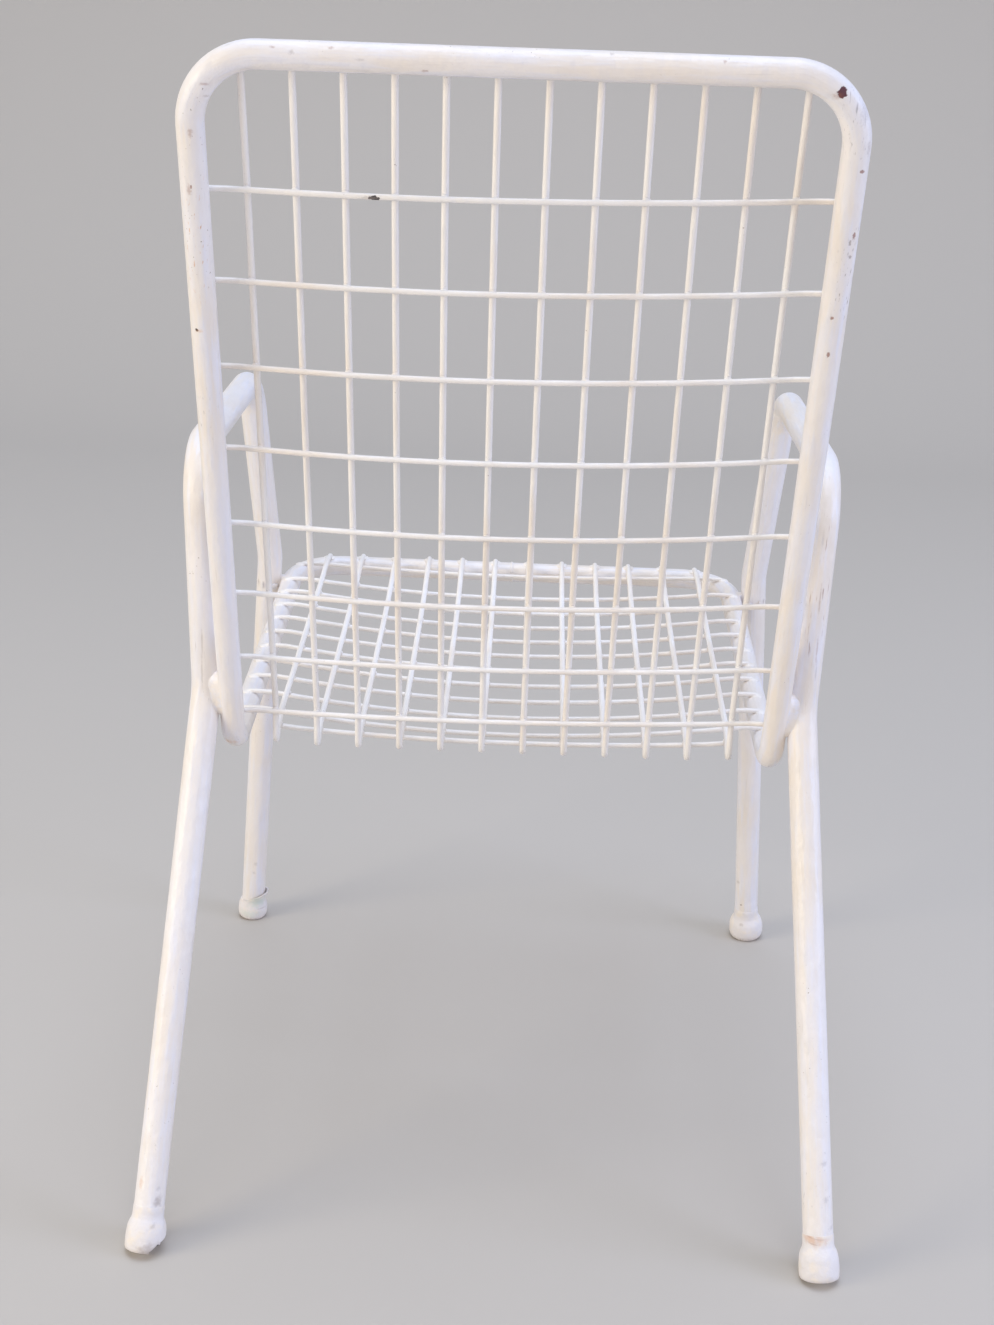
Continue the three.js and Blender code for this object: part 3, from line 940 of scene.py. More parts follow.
def found_on(piece, marks):
    """Marks or patches at the pixels where the photograph shows them, each carried by the piece."""
    return [(seen_point(piece, pixel), *rest) for pixel, *rest in marks.values()]


# Side tubes

def foot_axis(knee, knee_x, foot):
    """The sole's middle, the leg's way up and the end of the tube in its cap."""
    sole = place(knee_x + foot["splay"], foot["reach"], CAP_LIFT)
    up = (place(knee_x, knee["reach"], knee["height"]) - sole).normalized()
    return sole, up, sole + up * (CAP_SOLE + WELD_GAP)


def side_corners(rear_x, front_x):
    """Corners of a left side tube, from the rear foot over the arm to the front foot."""
    return [
        (foot_axis(REAR_KNEE, rear_x, REAR_FOOT)[2], 0),
        (place(rear_x, REAR_KNEE["reach"], REAR_KNEE["height"]), KNEE_BEND),
        (place(rear_x + REAR_ARM_FLARE, ARM_REAR_REACH, ARM_HEIGHT), ARM_BEND),
        (place(front_x + FRONT_ARM_FLARE, ARM_FRONT_REACH, ARM_HEIGHT), ARM_BEND),
        (place(front_x, FRONT_KNEE["reach"], FRONT_KNEE["height"]), KNEE_BEND),
        (foot_axis(FRONT_KNEE, front_x, FRONT_FOOT)[2], 0),
    ]


def contact_with(corners, line_start, line_end):
    """Where a bent tube's centre line comes nearest to a straight one: both points and the gap."""
    found = []
    points = bent_points(corners)
    for a, b in zip(points, points[1:]):
        near = intersect_line_line(a, b, line_start, line_end)[0]
        share = clamp((near - a).dot(b - a) / (b - a).length_squared, 0, 1)
        point = a.lerp(b, share)
        other = intersect_point_line(point, line_start, line_end)[0]
        found.append((point, other, (point - other).length))
    return min(found, key=lambda contact: contact[2])


def knee_contacts(corners):
    """Contacts of a left side tube with the loop's upright and with its seat rail."""
    middle = place(0, (REAR_KNEE["reach"] + FRONT_KNEE["reach"]) / 2, ARM_HEIGHT).y
    arm_middle = next(i for i, (point, _) in enumerate(corners) if point.y < middle)
    upright = back_point(HALF_WIDTH, 0), back_point(HALF_WIDTH, BACK_LENGTH)
    rail = seat_point(HALF_WIDTH, 0), seat_point(HALF_WIDTH, SEAT_LENGTH)
    rear = contact_with(corners[:arm_middle], *upright)
    front = contact_with(corners[arm_middle:], *rail)
    return rear, front


def knee_places():
    """Widths of the two knees at which the side tube just meets the loop."""
    touch = sizes().loop_tube / 2 + sizes().side_tube / 2 + WELD_GAP
    rear_x = front_x = HALF_WIDTH + touch
    for _ in range(KNEE_SOLVING_ROUNDS):
        rear, front = knee_contacts(side_corners(rear_x, front_x))
        rear_x += touch - rear[2]
        front_x += touch - front[2]
    return rear_x, front_x


def mirrored(point, sign):
    return Vector((point.x * sign, point.y, point.z))


SIDES = (("left", 1), ("right", -1))


class CHAIR_OT_mix_paint(bpy.types.Operator):
    """Builds the shader groups that the paint of every piece shares"""

    bl_idname = "chair.mix_paint"
    bl_label = "Mix Paint"

    def execute(self, context):
        build_enamel_group()
        build_mark_group()
        build_scratch_group()
        return {'FINISHED'}


# Worn marks, and a few marks of painted shade: the photograph's pixel, radii, colour and kind
LOOP_MARKS = {
    "corner_chip": ((843, 92), (0.0034, 0.006, 0.0034), "maroon", "chip"),
    "corner_chip_rust": ((838, 96), (0.0030, 0.004, 0.0016), "rust", "smudge"),
    "right_bend_rust": ((862, 172), (0.0015, 0.003, 0.0013), "rust", "speck"),
    "right_upright_rust": ((854, 236), (0.0010, 0.003, 0.0030), "rust", "speck"),
    "right_upright_nick": ((850, 243), (0.0010, 0.003, 0.0020), "grime_and_shade", "speck"),
    "right_upright_low_nick": ((850, 257), (0.0012, 0.003, 0.0012), "grime_and_shade", "speck"),
    "right_bend_rub": ((865, 114), (0.0028, 0.006, 0.0060), "scuff", "smudge"),
    "right_bend_line": ((869, 148), (0.0010, 0.006, 0.0045), "grime_and_shade", "smudge"),
    "right_middle_rust": ((832, 318), (0.0013, 0.003, 0.0012), "rust", "speck"),
    "right_low_rust": ((828, 355), (0.0010, 0.003, 0.0020), "rust", "speck"),
    "left_middle_chip": ((197, 330), (0.0013, 0.003, 0.0012), "bare_steel_and_shade", "chip"),
    "left_middle_stain": ((199, 331), (0.0026, 0.003, 0.0010), "stain", "smudge"),
    "left_upright_rust": ((189, 190), (0.0014, 0.003, 0.0030), "rust", "smudge"),
    "left_upright_speck": ((191, 187), (0.0006, 0.003, 0.0012), "rust", "speck"),
    "left_bend_rust": ((190, 133), (0.0013, 0.003, 0.0026), "rust", "smudge"),
    "left_corner_rust": ((204, 84), (0.0024, 0.003, 0.0008), "rust", "smudge"),
    "left_corner_dirt": ((206, 96), (0.0014, 0.003, 0.0007), "grime_and_shade", "smudge"),
    "top_rail_dirt": ((291, 52), (0.0015, 0.003, 0.0014), "grime_and_shade", "smudge"),
    "top_rail_rust_1": ((272, 47), (0.0015, 0.003, 0.0007), "rust", "smudge"),
    "top_rail_rust_2": ((331, 48), (0.0016, 0.003, 0.0007), "rust", "smudge"),
    "top_rail_rub": ((360, 60), (0.0024, 0.003, 0.0007), "scuff", "smudge"),
    "top_rail_rust_3": ((425, 71), (0.0018, 0.003, 0.0007), "rust", "smudge"),
    "top_rail_dirt_2": ((612, 54), (0.0014, 0.003, 0.0010), "grime_and_shade", "smudge"),
    "top_rail_rust_4": ((725, 62), (0.0009, 0.003, 0.0009), "rust", "smudge"),
    "left_heel_stain": ((228, 741), (0.0070, 0.006, 0.0020), "stain", "smudge"),
}
SIDE_MARKS = {
    "left": {
        "knee_rust": ((226, 676), (0.0014, 0.003, 0.0012), "rust", "speck"),
        # Painted shade: faint darker lines down the arm tube, the shade of a shallow crease.
        "arm_line": ((202, 640), (0.0006, 0.004, 0.010), "grime_and_shade", "line"),
        "arm_low_crease_shade": ((202, 672), (0.0006, 0.004, 0.012), "grime_and_shade", "line"),
        "leg_stain": ((141, 1183), (0.0014, 0.004, 0.004), "stain", "smudge"),
        "leg_dirt": ((158, 1202), (0.0026, 0.004, 0.0040), "grime_and_shade", "stain"),
        # Painted shade: the leg's bare steel end, seen through the torn foot cap, painted near-black
        # for the shade in the cap.
        "open_end_painted_shade": ((156, 1247), (0.0120, 0.012, 0.0060), "bare_steel_and_shade", "chip"),
        "leg_rub": ((158, 1189), (0.0012, 0.004, 0.0016), "scuff", "smudge"),
        "front_leg_rub": ((256, 864), (0.0015, 0.003, 0.0020), "scuff", "smudge"),
        "front_leg_low_rub": ((254, 873), (0.0012, 0.003, 0.0014), "scuff", "smudge"),
    },
    "right": {
        "knee_rust": ((796, 716), (0.0014, 0.003, 0.0012), "rust", "speck"),
        "arm_rust_line": ((817, 650), (0.0006, 0.004, 0.009), "rust", "line"),
        "arm_line": ((816, 672), (0.0006, 0.004, 0.007), "grime_and_shade", "line"),
        "arm_high_rust_line": ((820, 600), (0.0006, 0.004, 0.010), "rust", "line"),
        "arm_rub": ((823, 540), (0.0008, 0.004, 0.006), "scuff", "line"),
        "leg_rub": ((824, 1164), (0.0024, 0.004, 0.0018), "scuff", "smudge"),
        "leg_middle_rub": ((826, 1200), (0.0020, 0.004, 0.0018), "scuff", "smudge"),
        "leg_low_rub": ((831, 1228), (0.0022, 0.004, 0.0016), "scuff", "smudge"),
        "front_leg_rub": ((736, 854), (0.0012, 0.003, 0.0014), "scuff", "smudge"),
        "front_leg_dirt": ((738, 882), (0.0014, 0.003, 0.0016), "grime_and_shade", "smudge"),
        "front_leg_low_dirt": ((732, 917), (0.0014, 0.003, 0.0026), "grime_and_shade", "smudge"),
        "front_leg_speck": ((741, 905), (0.0010, 0.003, 0.0010), "grime_and_shade", "speck"),
    },
}
WIRE_MARKS = {
    "chip": ((374, 198), (0.0042, 0.006, 0.0015), "bare_steel_and_shade", "chip"),
    "chip_dirt": ((368, 198), (0.0060, 0.006, 0.0012), "grime_and_shade", "smudge"),
}
CAP_MARKS = {
    ("rear", "right"): {
        "collar_stain": ((812, 1240), (0.0090, 0.008, 0.0034), "stain", "stain"),
        "collar_rust": ((808, 1236), (0.0034, 0.008, 0.0005), "rust", "line"),
        "collar_line": ((819, 1240), (0.0044, 0.008, 0.0004), "grime_and_shade", "line"),
        "collar_low_rust": ((812, 1244), (0.0036, 0.008, 0.0005), "rust", "line"),
    },
    ("rear", "left"): {
        "shoulder_dirt": ((153, 1226), (0.0022, 0.004, 0.0012), "grime_and_shade", "smudge"),
        # Painted shadow: a dark grime-coloured stain in the tear, standing for the shade in the cap's
        # hollow.
        "tear_painted_shadow": ((158, 1251), (0.0090, 0.011, 0.0040), "grime_and_shade", "stain"),
    },
    ("front", "right"): {"sole_dirt": ((741, 925), (0.0018, 0.003, 0.0014), "grime_and_shade", "smudge")},
    ("front", "left"): {
        "collar_algae": ((258, 902), (0.0090, 0.009, 0.0060), "algae", "stain"),
        "sole_algae": ((248, 914), (0.0110, 0.009, 0.0040), "algae", "smudge"),
        "shoulder_line": ((262, 908), (0.0040, 0.006, 0.0007), "grime_and_shade", "smudge"),
    },
}
# Scratched patches: the photograph's pixel, radii, colour and amount
LOOP_PATCHES = {
    "right_upright": ((852, 270), (0.012, 0.012, 0.05), "grime_and_shade", 0.46),
    "right_bend": ((860, 120), (0.014, 0.014, 0.03), "scuff", 0.42),
    "left_upright": ((196, 240), (0.012, 0.012, 0.07), "stain", 0.36),
    "left_low": ((206, 430), (0.012, 0.012, 0.07), "scuff", 0.30),
}
SIDE_PATCHES = {
    "left": {"arm": ((203, 650), (0.008, 0.012, 0.05), "grime_and_shade", 0.30),
             "leg": ((140, 1150), (0.016, 0.02, 0.07), "scuff", 0.22)},
    "right": {"arm": ((818, 610), (0.010, 0.012, 0.07), "rust", 0.34),
              "leg": ((818, 1190), (0.016, 0.02, 0.06), "scuff", 0.24)},
}


class CHAIR_OT_bend_loop(bpy.types.Operator):
    """Bends the tube that carries the seat and the back, and butt welds it under the front edge"""

    bl_idname = "chair.bend_loop"
    bl_label = "Bend Seat and Back Loop"

    def execute(self, context):
        front = seat_point(0, SEAT_LENGTH)
        seam = Vector((BUTT_SEAM / 2, 0, 0))
        corners = [
            (front + seam, 0),
            (seat_point(HALF_WIDTH, SEAT_LENGTH), FRONT_CORNER_BEND),
            (seat_point(HALF_WIDTH, 0), SEAT_BACK_BEND),
            (back_point(HALF_WIDTH, BACK_LENGTH), TOP_CORNER_BEND),
            (back_point(-HALF_WIDTH, BACK_LENGTH), TOP_CORNER_BEND),
            (seat_point(-HALF_WIDTH, 0), SEAT_BACK_BEND),
            (seat_point(-HALF_WIDTH, SEAT_LENGTH), FRONT_CORNER_BEND),
            (front - seam, 0),
        ]
        radius = sizes().loop_tube / 2
        loop = bend_tube("bent_seat_and_back_loop", corners, radius)
        marks, patches = found_on(loop, LOOP_MARKS), found_on(loop, LOOP_PATCHES)
        material = enamel_material("enamel_on_loop", marks, patches)
        dress(loop, material, "seat_back_frame")
        bead = bend_tube_bead("butt_weld_bead", front, Vector((1, 0, 0)), radius)
        dress(bead, material)
        return {'FINISHED'}


def bend_tube_bead(name, centre, axis, radius):
    """A low ring of weld round a butt joint in a tube."""
    select_only()
    bpy.ops.mesh.primitive_torus_add(
        location=centre, rotation=axis.to_track_quat('Z', 'Y').to_euler(),
        major_radius=radius - BEAD_SINK, minor_radius=BEAD_RADIUS,
        major_segments=BEAD_STEPS, minor_segments=BEAD_SIDES)
    bead = named_piece(name)
    edit_all()
    bpy.ops.transform.vertex_random(offset=BEAD_UNEVENNESS, seed=BEAD_SEED)
    bpy.ops.object.mode_set(mode='OBJECT')
    keep_place_in_mesh(bead)
    close_and_smooth(bead)
    return bead


class CHAIR_OT_bend_sides(bpy.types.Operator):
    """Bends the two tubes that make the legs and the arms"""

    bl_idname = "chair.bend_sides"
    bl_label = "Bend Legs and Arms"

    def execute(self, context):
        corners = side_corners(*knee_places())
        for side, sign in SIDES:
            route = [(mirrored(point, sign), bend) for point, bend in corners]
            tube = bend_tube(f"{side}_leg_and_arm", route, sizes().side_tube / 2)
            marks, patches = found_on(tube, SIDE_MARKS[side]), found_on(tube, SIDE_PATCHES[side])
            material = enamel_material(f"enamel_on_{side}_side", marks, patches)
            dress(tube, material, f"{side}_leg_arm_tube")
        return {'FINISHED'}


class CHAIR_OT_turn_caps(bpy.types.Operator):
    """Turns the four foot caps from their outlines and cuts their soles flat on the floor"""

    bl_idname = "chair.turn_caps"
    bl_label = "Turn Foot Caps"

    def execute(self, context):
        rear_x, front_x = knee_places()
        feet = (("rear", REAR_KNEE, rear_x, REAR_FOOT), ("front", FRONT_KNEE, front_x, FRONT_FOOT))
        for side, sign in SIDES:
            for end, knee, knee_x, foot in feet:
                sole, up = (mirrored(part, sign) for part in foot_axis(knee, knee_x, foot)[:2])
                cap = turn_cap(f"{end}_{side}_cap", CAP_OUTLINES[end, side], sole, up)
                if (end, side) == LOOSE_CAP:
                    trim_collar(cap, sole, up)
                elif (end, side) == TORN_CAP:
                    tear_cap(cap)
                stains_and_shade = found_on(cap, CAP_MARKS[end, side])
                material = rubber_material(f"rubber_of_{end}_{side}_cap", stains_and_shade)
                dress(cap, material, f"foot_cap_{end}_{side}", slot="foot_rubber")
        return {'FINISHED'}


def tear_cap(cap):
    """Bites a ragged piece out of the cap's lower edge."""
    bite = make_blob("tear", TEAR_RADII, TEAR_RAGGEDNESS, TEAR_SEED)
    bite.location = seen_point(cap, TEAR_PIXEL) + Vector(TEAR_SHIFT)
    cut_away(cap, bite)


def trim_collar(cap, sole, up):
    """Cuts the loosened collar off at a slope, low on its outer side."""
    select_only()
    bpy.ops.mesh.primitive_cube_add(size=TRIM_BLOCK, rotation=(0, LOOSE_COLLAR_SLOPE, 0))
    block = bpy.context.object
    above = block.matrix_world.to_quaternion() @ Vector((0, 0, TRIM_BLOCK / 2))
    block.location = sole + up * LOOSE_COLLAR_HEIGHT + above
    cut_away(cap, block)


def cut_away(cap, tool):
    """Takes the tool's shape out of a cap."""
    modify(cap, 'BOOLEAN', operation='DIFFERENCE', solver='EXACT', object=tool)
    bpy.data.objects.remove(tool)
    clean_cut(cap)


def clean_cut(cap):
    """Merges the slivers that a cut leaves and shades the cap smooth again."""
    select_only(cap)
    edit_all()
    bpy.ops.mesh.remove_doubles(threshold=SLIVER)
    bpy.ops.mesh.dissolve_degenerate(threshold=SLIVER)
    bpy.ops.mesh.select_all(action='SELECT')
    bpy.ops.mesh.fill_holes(sides=0)
    bpy.ops.object.mode_set(mode='OBJECT')
    bpy.ops.object.shade_smooth_by_angle(angle=CUT_SMOOTH_ANGLE)


def turn_cap(name, cap_outline, sole, up):
    """Spins the cap's outline round the leg's axis and cuts it at the floor."""
    select_only()
    bore = sizes().side_tube / 2 - CAP_GRIP
    top = cap_outline[-1][1]
    outline = [(0, 0), *cap_outline, (bore, top), (bore, CAP_SOLE), (0, CAP_SOLE)]
    bpy.ops.mesh.primitive_plane_add(size=CAP_SOLE)
    cap = named_piece(name)
    edit_all()
    bpy.ops.mesh.merge(type='CENTER')
    for (r0, h0), (r1, h1) in zip(outline, outline[1:]):
        bpy.ops.mesh.extrude_region_move(TRANSFORM_OT_translate={"value": (r1 - r0, 0, h1 - h0)})
    bpy.ops.mesh.select_all(action='SELECT')
    bpy.ops.mesh.spin(steps=CAP_SIDES, angle=math.tau, center=(0, 0, 0), axis=(0, 0, 1))
    bpy.ops.object.mode_set(mode='OBJECT')
    close_and_smooth(cap)
    cap.matrix_world = Matrix.Translation(sole) @ up.to_track_quat('Z', 'Y').to_matrix().to_4x4()
    keep_place_in_mesh(cap)
    edit_all()
    bpy.ops.mesh.bisect(
        plane_co=(0, 0, 0), plane_no=(0, 0, 1), use_fill=True, clear_inner=True, threshold=FLOOR_CUT)
    clean_cut(cap)
    return cap


class CHAIR_OT_lay_cross_wires(bpy.types.Operator):
    """Lays the cross wires over the seat rails and up the back"""

    bl_idname = "chair.lay_cross_wires"
    bl_label = "Lay Cross Wires"

    def execute(self, context):
        plain = enamel_material("enamel_on_cross_wires", dirt=CROSS_WIRE_DIRT, on_wire=True)
        radius = sizes().cross_wire / 2
        for i, run in enumerate(back_wire_runs(), 1):
            end = rail_x(run) + WIRE_END_OVERRUN
            points = [cross_wire_at(x, run + BACK_WIRE_LIFT + BACK_WIRE_LEAN * x) for x in spread(end)]
            wire = draw_wire(f"back_wire_across_{i}", points, radius)
            material = plain
            if i == CHIPPED_WIRE:
                marks = found_on(wire, WIRE_MARKS)
                material = enamel_material(
                    "enamel_on_chipped_wire", marks, dirt=CROSS_WIRE_DIRT, on_wire=True)
            dress(wire, material, f"back_cross_wire_{i}")
        for i, run in enumerate(seat_wire_runs(), 1):
            in_bend = run == seat_wire_runs()[-1]
            end = OUTER_LONG_WIRE + REAR_WIRE_OVERRUN if in_bend else rail_x(run) + WIRE_END_OVERRUN
            points = [cross_wire_at(x, run) for x in spread(end)]
            for k in () if in_bend else (0, -1):
                down = sheet_point(points[k].x, run, 0) - points[k]
                points[k] += down.normalized() * CROSS_END_DROP
            wire = draw_wire(f"seat_wire_across_{i:02d}", points, radius, WIRE_END_THINNING)
            dress(wire, plain, f"seat_cross_wire_{i:02d}")
        return {'FINISHED'}


def spread(end):
    """Even places from one end of a cross wire to the other."""
    steps = math.ceil(2 * end / WIRE_STEP)
    return [end - 2 * end * k / steps for k in range(steps + 1)]


def top_run(x):
    """The run of the top rail's centre line at a width."""
    return FULL_RUN - rail_drop(x, TOP_CORNER_BEND)


def long_wire_points(x):
    """The line of a long wire from the top rail to its hook over the front rail."""
    rise = rail_wire_rise() - RAIL_BITE
    overruns = (TOP_WIRE_OVERRUN, -TOP_WIRE_OVERRUN)
    points = [sheet_point(x, top_run(x) + overrun, rise) for overrun in overruns]
    first, last = back_wire_runs()[0], seat_wire_runs()[0]
    above, below = LOWEST_RUN + TIP_REACH, LOWEST_RUN - TIP_REACH
    steps = math.ceil((first - above) / WIRE_STEP)
    points += [long_wire_at(x, first + (above - first) * k / steps) for k in range(steps)]
    points += [long_wire_at(x, LOWEST_RUN + share * TIP_REACH) for share in TIP_STEPS]
    steps = math.ceil((below - last) / WIRE_STEP)
    points += [long_wire_at(x, below + (last - below) * k / steps) for k in range(1, steps + 1)]
    for k in range(HOOK_STEPS + 1):
        angle = HOOK_ANGLE * k / HOOK_STEPS
        run = rail_drop(x, FRONT_CORNER_BEND) - rise * math.sin(angle)
        points.append(sheet_point(x, run, rise * math.cos(angle)))
    return round_corners(points)


class CHAIR_OT_lay_long_wires(bpy.types.Operator):
    """Lays the long wires down the back, round the bend and over the seat to the front rail"""

    bl_idname = "chair.lay_long_wires"
    bl_label = "Lay Long Wires"

    def execute(self, context):
        plain = enamel_material("enamel_on_long_wires", dirt=LONG_WIRE_DIRT, on_wire=True)
        for i, x in enumerate(long_wire_places(), 1):
            name = f"wire_down_back_and_seat_{i:02d}"
            wire = draw_wire(name, long_wire_points(x), sizes().long_wire / 2)
            dress(wire, plain, f"long_wire_{i:02d}")
        return {'FINISHED'}


class CHAIR_OT_weld_wires(bpy.types.Operator):
    """Adds the painted welds where wires cross and where they end on the loop"""

    bl_idname = "chair.weld_wires"
    bl_label = "Weld Wires"

    def execute(self, context):
        dice = random.Random(WELD_DICE_SEED)
        material = enamel_material("enamel_on_welds", dirt=WELD_DIRT, brushed=False, on_wire=True)
        radius = sizes().blob
        radii = (radius, radius, CROSSING_FLATNESS * radius)
        places = long_wire_places()
        back, seat = back_wire_runs(), seat_wire_runs()
        meshes = (("back", back, BACK_WIRE_LIFT, BACK_WIRE_LEAN), ("seat", seat, 0, 0))
        for seed, (part, runs, lift, lean) in enumerate(meshes):
            spots = [crossing_spot(dice, x, run + lift + lean * x) for run in runs for x in places]
            model = make_blob("crossing_blob", radii, CROSSING_LUMPS, seed)
            dress(scatter(f"{part}_mesh_welds", model, spots), material)
        ends = [
            end_spot(dice, sign * rail_x(run), run, lean)
            for runs, lean in ((back, BACK_WIRE_LEAN), (seat[:-1], 0))
            for run in runs for sign in (1, -1)]
        model = make_blob("end_blob", END_BLOB, END_LUMPS, END_BLOB_SEED)
        dress(scatter("cross_wire_end_welds", model, ends), material)
        tips = [
            tip_spot(dice, x, run)
            for x in places for run in (rail_drop(x, FRONT_CORNER_BEND), top_run(x))]
        model = make_blob("tip_blob", TIP_BLOB, END_LUMPS, TIP_BLOB_SEED)
        dress(scatter("long_wire_end_welds", model, tips), material)
        return {'FINISHED'}


def turned(dice, spot, most):
    """A spot turned at random about its own Z."""
    return spot @ Matrix.Rotation(dice.uniform(-most, most), 4, 'Z')


def crossing_spot(dice, x, run):
    """Between a cross wire and the long wire over it."""
    under, over = cross_wire_at(x, run), long_wire_at(x, run)
    along = cross_wire_at(x + layer_step() / 2, run) - under
    size = 1 + dice.uniform(-CROSSING_SWELL, CROSSING_SWELL)
    spot = pose_at(under.lerp(over, 0.5), along, (over - under).normalized())
    return turned(dice, spot, CROSSING_TURN) @ Matrix.Scale(size, 4)


def end_spot(dice, x, run, lean):
    """Where a cross wire ends on a side of the loop."""
    centre = cross_wire_at(x, run + lean * x)
    facing = centre - sheet_point(x, run + lean * x, 0)
    spot = pose_at(centre - facing.normalized() * END_BLOB_SINK, Vector((1, 0, 0)), facing)
    return turned(dice, spot, END_TURN)


def tip_spot(dice, x, run):
    """Where a long wire meets a rail."""
    rail = sheet_point(x, run, 0)
    facing = sheet_point(x, run, rail_wire_rise()) - rail
    return turned(dice, pose_at(rail + facing * TIP_BLOB_SHARE, Vector((1, 0, 0)), facing), END_TURN)


class CHAIR_OT_weld_knees(bpy.types.Operator):
    """Fills the grooves where the side tubes are welded to the loop"""

    bl_idname = "chair.weld_knees"
    bl_label = "Weld Knees"

    def execute(self, context):
        corners = side_corners(*knee_places())
        contacts = knee_contacts(corners)
        ways = (back_point(0, 1) - back_point(0, 0), seat_point(0, 1) - seat_point(0, 0))
        material = enamel_material("enamel_on_knee_welds", dirt=KNEE_WELD_DIRT, brushed=False)
        for end, contact, way in zip(("rear", "front"), contacts, ways):
            loop_point = contact[1]
            low, high = KNEE_WELD_REACH[end]
            lowest, highest = loop_point - way * low, loop_point + way * high
            loop_line = [lowest.lerp(highest, k / KNEE_WELD_STEPS) for k in range(KNEE_WELD_STEPS + 1)]
            half = corners[:3] if end == "rear" else corners[3:]
            side_line = [nearest_on(bent_points(half), point) for point in loop_line]
            for side, sign in SIDES:
                loop_part = [mirrored(point, sign) for point in loop_line]
                side_part = [mirrored(point, sign) for point in side_line]
                weld = fill_groove(f"{end}_{side}_knee_weld", loop_part, side_part)
                dress(weld, material)
        return {'FINISHED'}


def nearest_on(chain, point):
    """The place on a chain of points that is nearest to a point."""
    found = []
    for a, b in zip(chain, chain[1:]):
        share = clamp((point - a).dot(b - a) / (b - a).length_squared, 0, 1)
        found.append(a.lerp(b, share))
    return min(found, key=lambda place_on: (place_on - point).length)


def fill_groove(name, loop_part, side_part):
    """Two short tubes and a core, swelled till they merge, smoothed and drawn back into the groove."""
    share = sizes().loop_tube / (sizes().loop_tube + sizes().side_tube)
    core = [a.lerp(b, share) for a, b in zip(loop_part, side_part)]
    lines = (
        (loop_part, sizes().loop_tube / 2), (side_part, sizes().side_tube / 2), (core[1:-1], WELD_CORE))
    weld = join([
        draw_wire(name, points, radius + WELD_FILLET, WELD_END_THINNING) for points, radius in lines])
    for layer in ("off_line", "along"):
        weld.data.attributes.remove(weld.data.attributes[layer])
    modify(weld, 'REMESH', mode='VOXEL', voxel_size=WELD_GRAIN)
    modify(weld, 'SMOOTH', iterations=WELD_SMOOTHING)
    modify(weld, 'DISPLACE', mid_level=0, strength=-WELD_FILLET - WELD_SINK)
    modify(weld, 'SMOOTH', iterations=WELD_SETTLING)
    bpy.ops.object.shade_smooth()
    return weld


class CHAIR_OT_set_stage(bpy.types.Operator):
    """Lays the floor and backdrop, hangs the soft lamps and sets the camera"""

    bl_idname = "chair.set_stage"
    bl_label = "Set Stage"

    def execute(self, context):
        lay_floor()
        hang_lamps()
        set_camera()
        return {'FINISHED'}


def select_edges(piece, wanted):
    """Selects the edges of a mesh whose two ends are both wanted."""
    points = piece.data.vertices
    for face in piece.data.polygons:
        face.select = False
    for vertex in points:
        vertex.select = wanted(vertex.co)
    for edge in piece.data.edges:
        edge.select = all(wanted(points[i].co) for i in edge.vertices)


def lay_floor():
    """A floor with its far edge swept up into a backdrop."""
    select_only()
    bpy.ops.mesh.primitive_plane_add(size=1, location=(0, (FLOOR_REACH + BACKDROP_PLACE) / 2, 0))
    floor = named_piece("floor_and_backdrop")
    floor.scale = (2 * FLOOR_REACH, FLOOR_REACH - BACKDROP_PLACE, 1)
    keep_place_in_mesh(floor)
    select_edges(floor, lambda point: point.y < BACKDROP_PLACE / 2)
    bpy.ops.object.mode_set(mode='EDIT')
    bpy.ops.mesh.select_mode(type='EDGE')
    bpy.ops.mesh.extrude_region_move(TRANSFORM_OT_translate={"value": (0, 0, BACKDROP_HEIGHT)})
    bpy.ops.object.mode_set(mode='OBJECT')
    select_edges(floor, lambda point: abs(point.z) < FLOOR_LEVEL and point.y < BACKDROP_PLACE / 2)
    bpy.ops.object.mode_set(mode='EDIT')
    bpy.ops.mesh.bevel(offset=BACKDROP_BEND, segments=BACKDROP_STEPS)
    bpy.ops.object.mode_set(mode='OBJECT')
    bpy.ops.object.shade_smooth()
    material, _, shader = new_material("pale_floor")
    shader.inputs["Base Color"].default_value = tint("floor")
    shader.inputs["Roughness"].default_value = FLOOR_ROUGHNESS
    floor.data.materials.append(material)


def hang_lamps():
    """Soft lamps, warm on the camera's left and cool overhead and on its right, in a pale room."""
    for name, (place_at, width, height, power, shade) in LAMPS.items():
        select_only()
        bpy.ops.object.light_add(type='AREA', location=place_at)
        lamp = named_piece(name)
        lamp.data.shape = 'RECTANGLE'
        lamp.data.size = width
        lamp.data.size_y = height
        lamp.data.energy = power
        lamp.data.color = shade
        lamp.rotation_mode = 'QUATERNION'
        lamp.rotation_quaternion = (LAMP_TARGET - Vector(place_at)).to_track_quat('-Z', 'Y')
    world = bpy.data.worlds.new("pale_room")
    bpy.context.scene.world = world
    world.use_nodes = True
    background = world.node_tree.nodes["Background"]
    background.inputs["Color"].default_value = ROOM_LIGHT
    background.inputs["Strength"].default_value = ROOM_LIGHT_STRENGTH


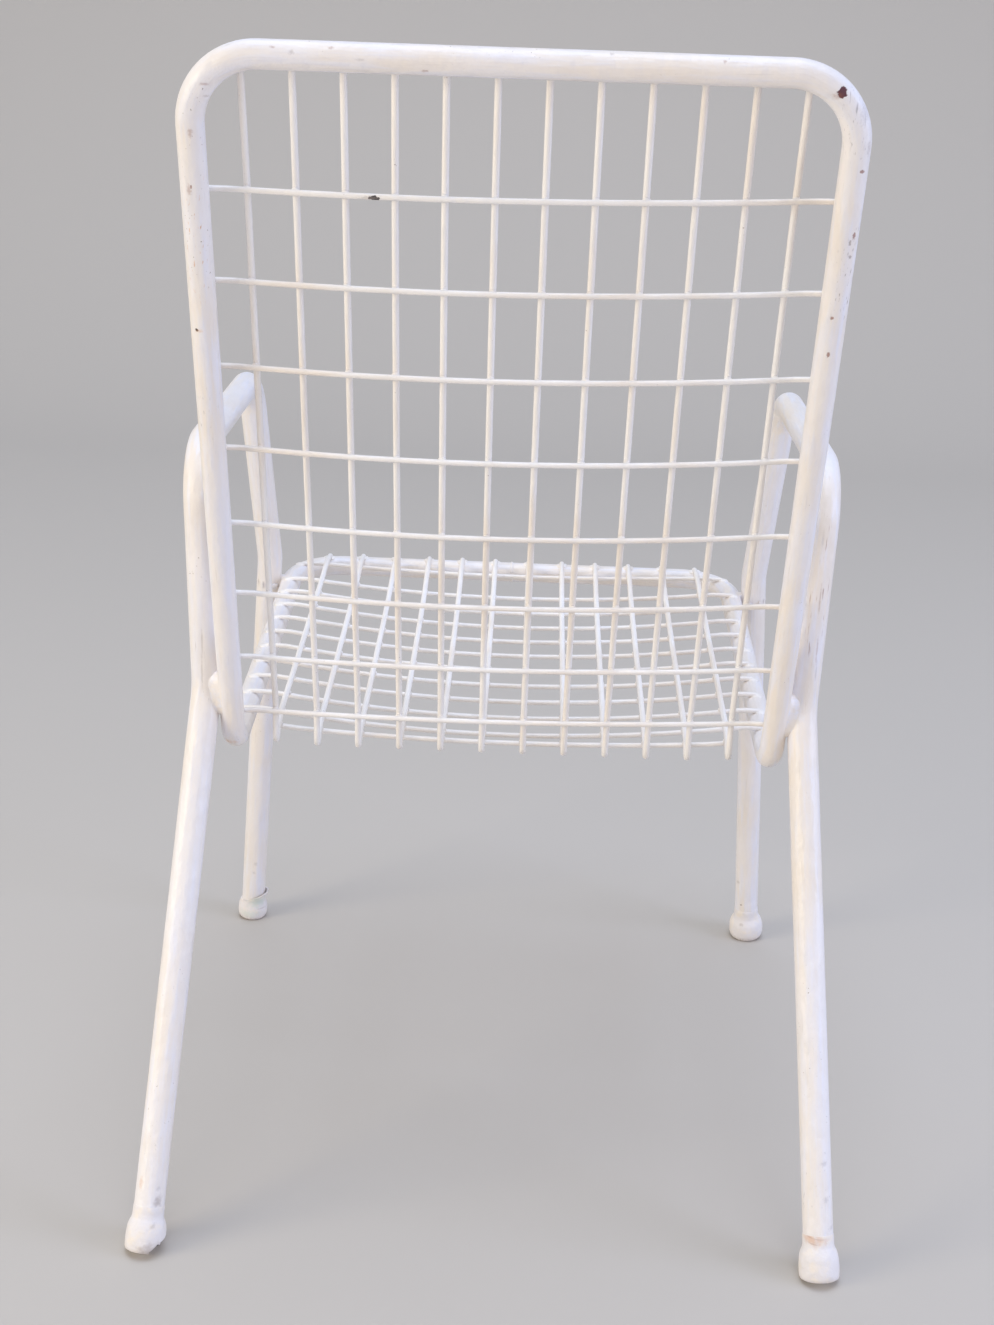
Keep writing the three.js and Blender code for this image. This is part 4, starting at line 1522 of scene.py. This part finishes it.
def set_camera():
    """The photograph's viewpoint, behind the chair and a little above it."""
    select_only()
    bpy.ops.object.camera_add()
    camera = named_piece("camera_behind_chair")
    right, down, forward = camera_axes()
    turn = Matrix((right, -down, -forward)).transposed().to_4x4()
    camera.matrix_world = Matrix.Translation(CAMERA_PLACE) @ turn
    camera.data.sensor_fit = 'VERTICAL'
    camera.data.sensor_height = SENSOR_HEIGHT
    camera.data.lens = SENSOR_HEIGHT * FOCAL_PIXELS / PHOTO_HEIGHT
    camera.data.clip_start = CAMERA_NEAR
    camera.data.clip_end = CAMERA_FAR
    bpy.context.scene.camera = camera
    bpy.context.scene.view_settings.view_transform = 'Standard'


class CHAIR_PT_panel(bpy.types.Panel):
    """Lists the steps that build the chair, with its sizes and colours"""

    bl_idname = "CHAIR_PT_panel"
    bl_label = "Lawn Chair"
    bl_space_type = 'VIEW_3D'
    bl_region_type = 'UI'
    bl_category = "Lawn Chair"

    def draw(self, context):
        for step in STEPS:
            self.layout.operator(step.bl_idname)
        for group in (context.scene.chair_sizes, context.scene.chair_colours):
            column = self.layout.column()
            for label in group.bl_rna.properties.keys():
                if label not in ("rna_type", "name"):
                    column.prop(group, label)


STEPS = (
    CHAIR_OT_mix_paint,
    CHAIR_OT_bend_loop,
    CHAIR_OT_bend_sides,
    CHAIR_OT_turn_caps,
    CHAIR_OT_lay_cross_wires,
    CHAIR_OT_lay_long_wires,
    CHAIR_OT_weld_wires,
    CHAIR_OT_weld_knees,
    CHAIR_OT_set_stage,
)
CLASSES = (ChairSizes, ChairColours, *STEPS, CHAIR_PT_panel)


def register():
    for item in CLASSES:
        bpy.utils.register_class(item)
    bpy.types.Scene.chair_sizes = PointerProperty(type=ChairSizes)
    bpy.types.Scene.chair_colours = PointerProperty(type=ChairColours)


def unregister():
    del bpy.types.Scene.chair_colours
    del bpy.types.Scene.chair_sizes
    for item in reversed(CLASSES):
        bpy.utils.unregister_class(item)


def main():
    register()
    bpy.ops.chair.mix_paint()
    bpy.ops.chair.bend_loop()
    bpy.ops.chair.bend_sides()
    bpy.ops.chair.turn_caps()
    bpy.ops.chair.lay_cross_wires()
    bpy.ops.chair.lay_long_wires()
    bpy.ops.chair.weld_wires()
    bpy.ops.chair.weld_knees()
    bpy.ops.chair.set_stage()
    bpy.context.view_layer.update()


if __name__ == "__main__":
    main()
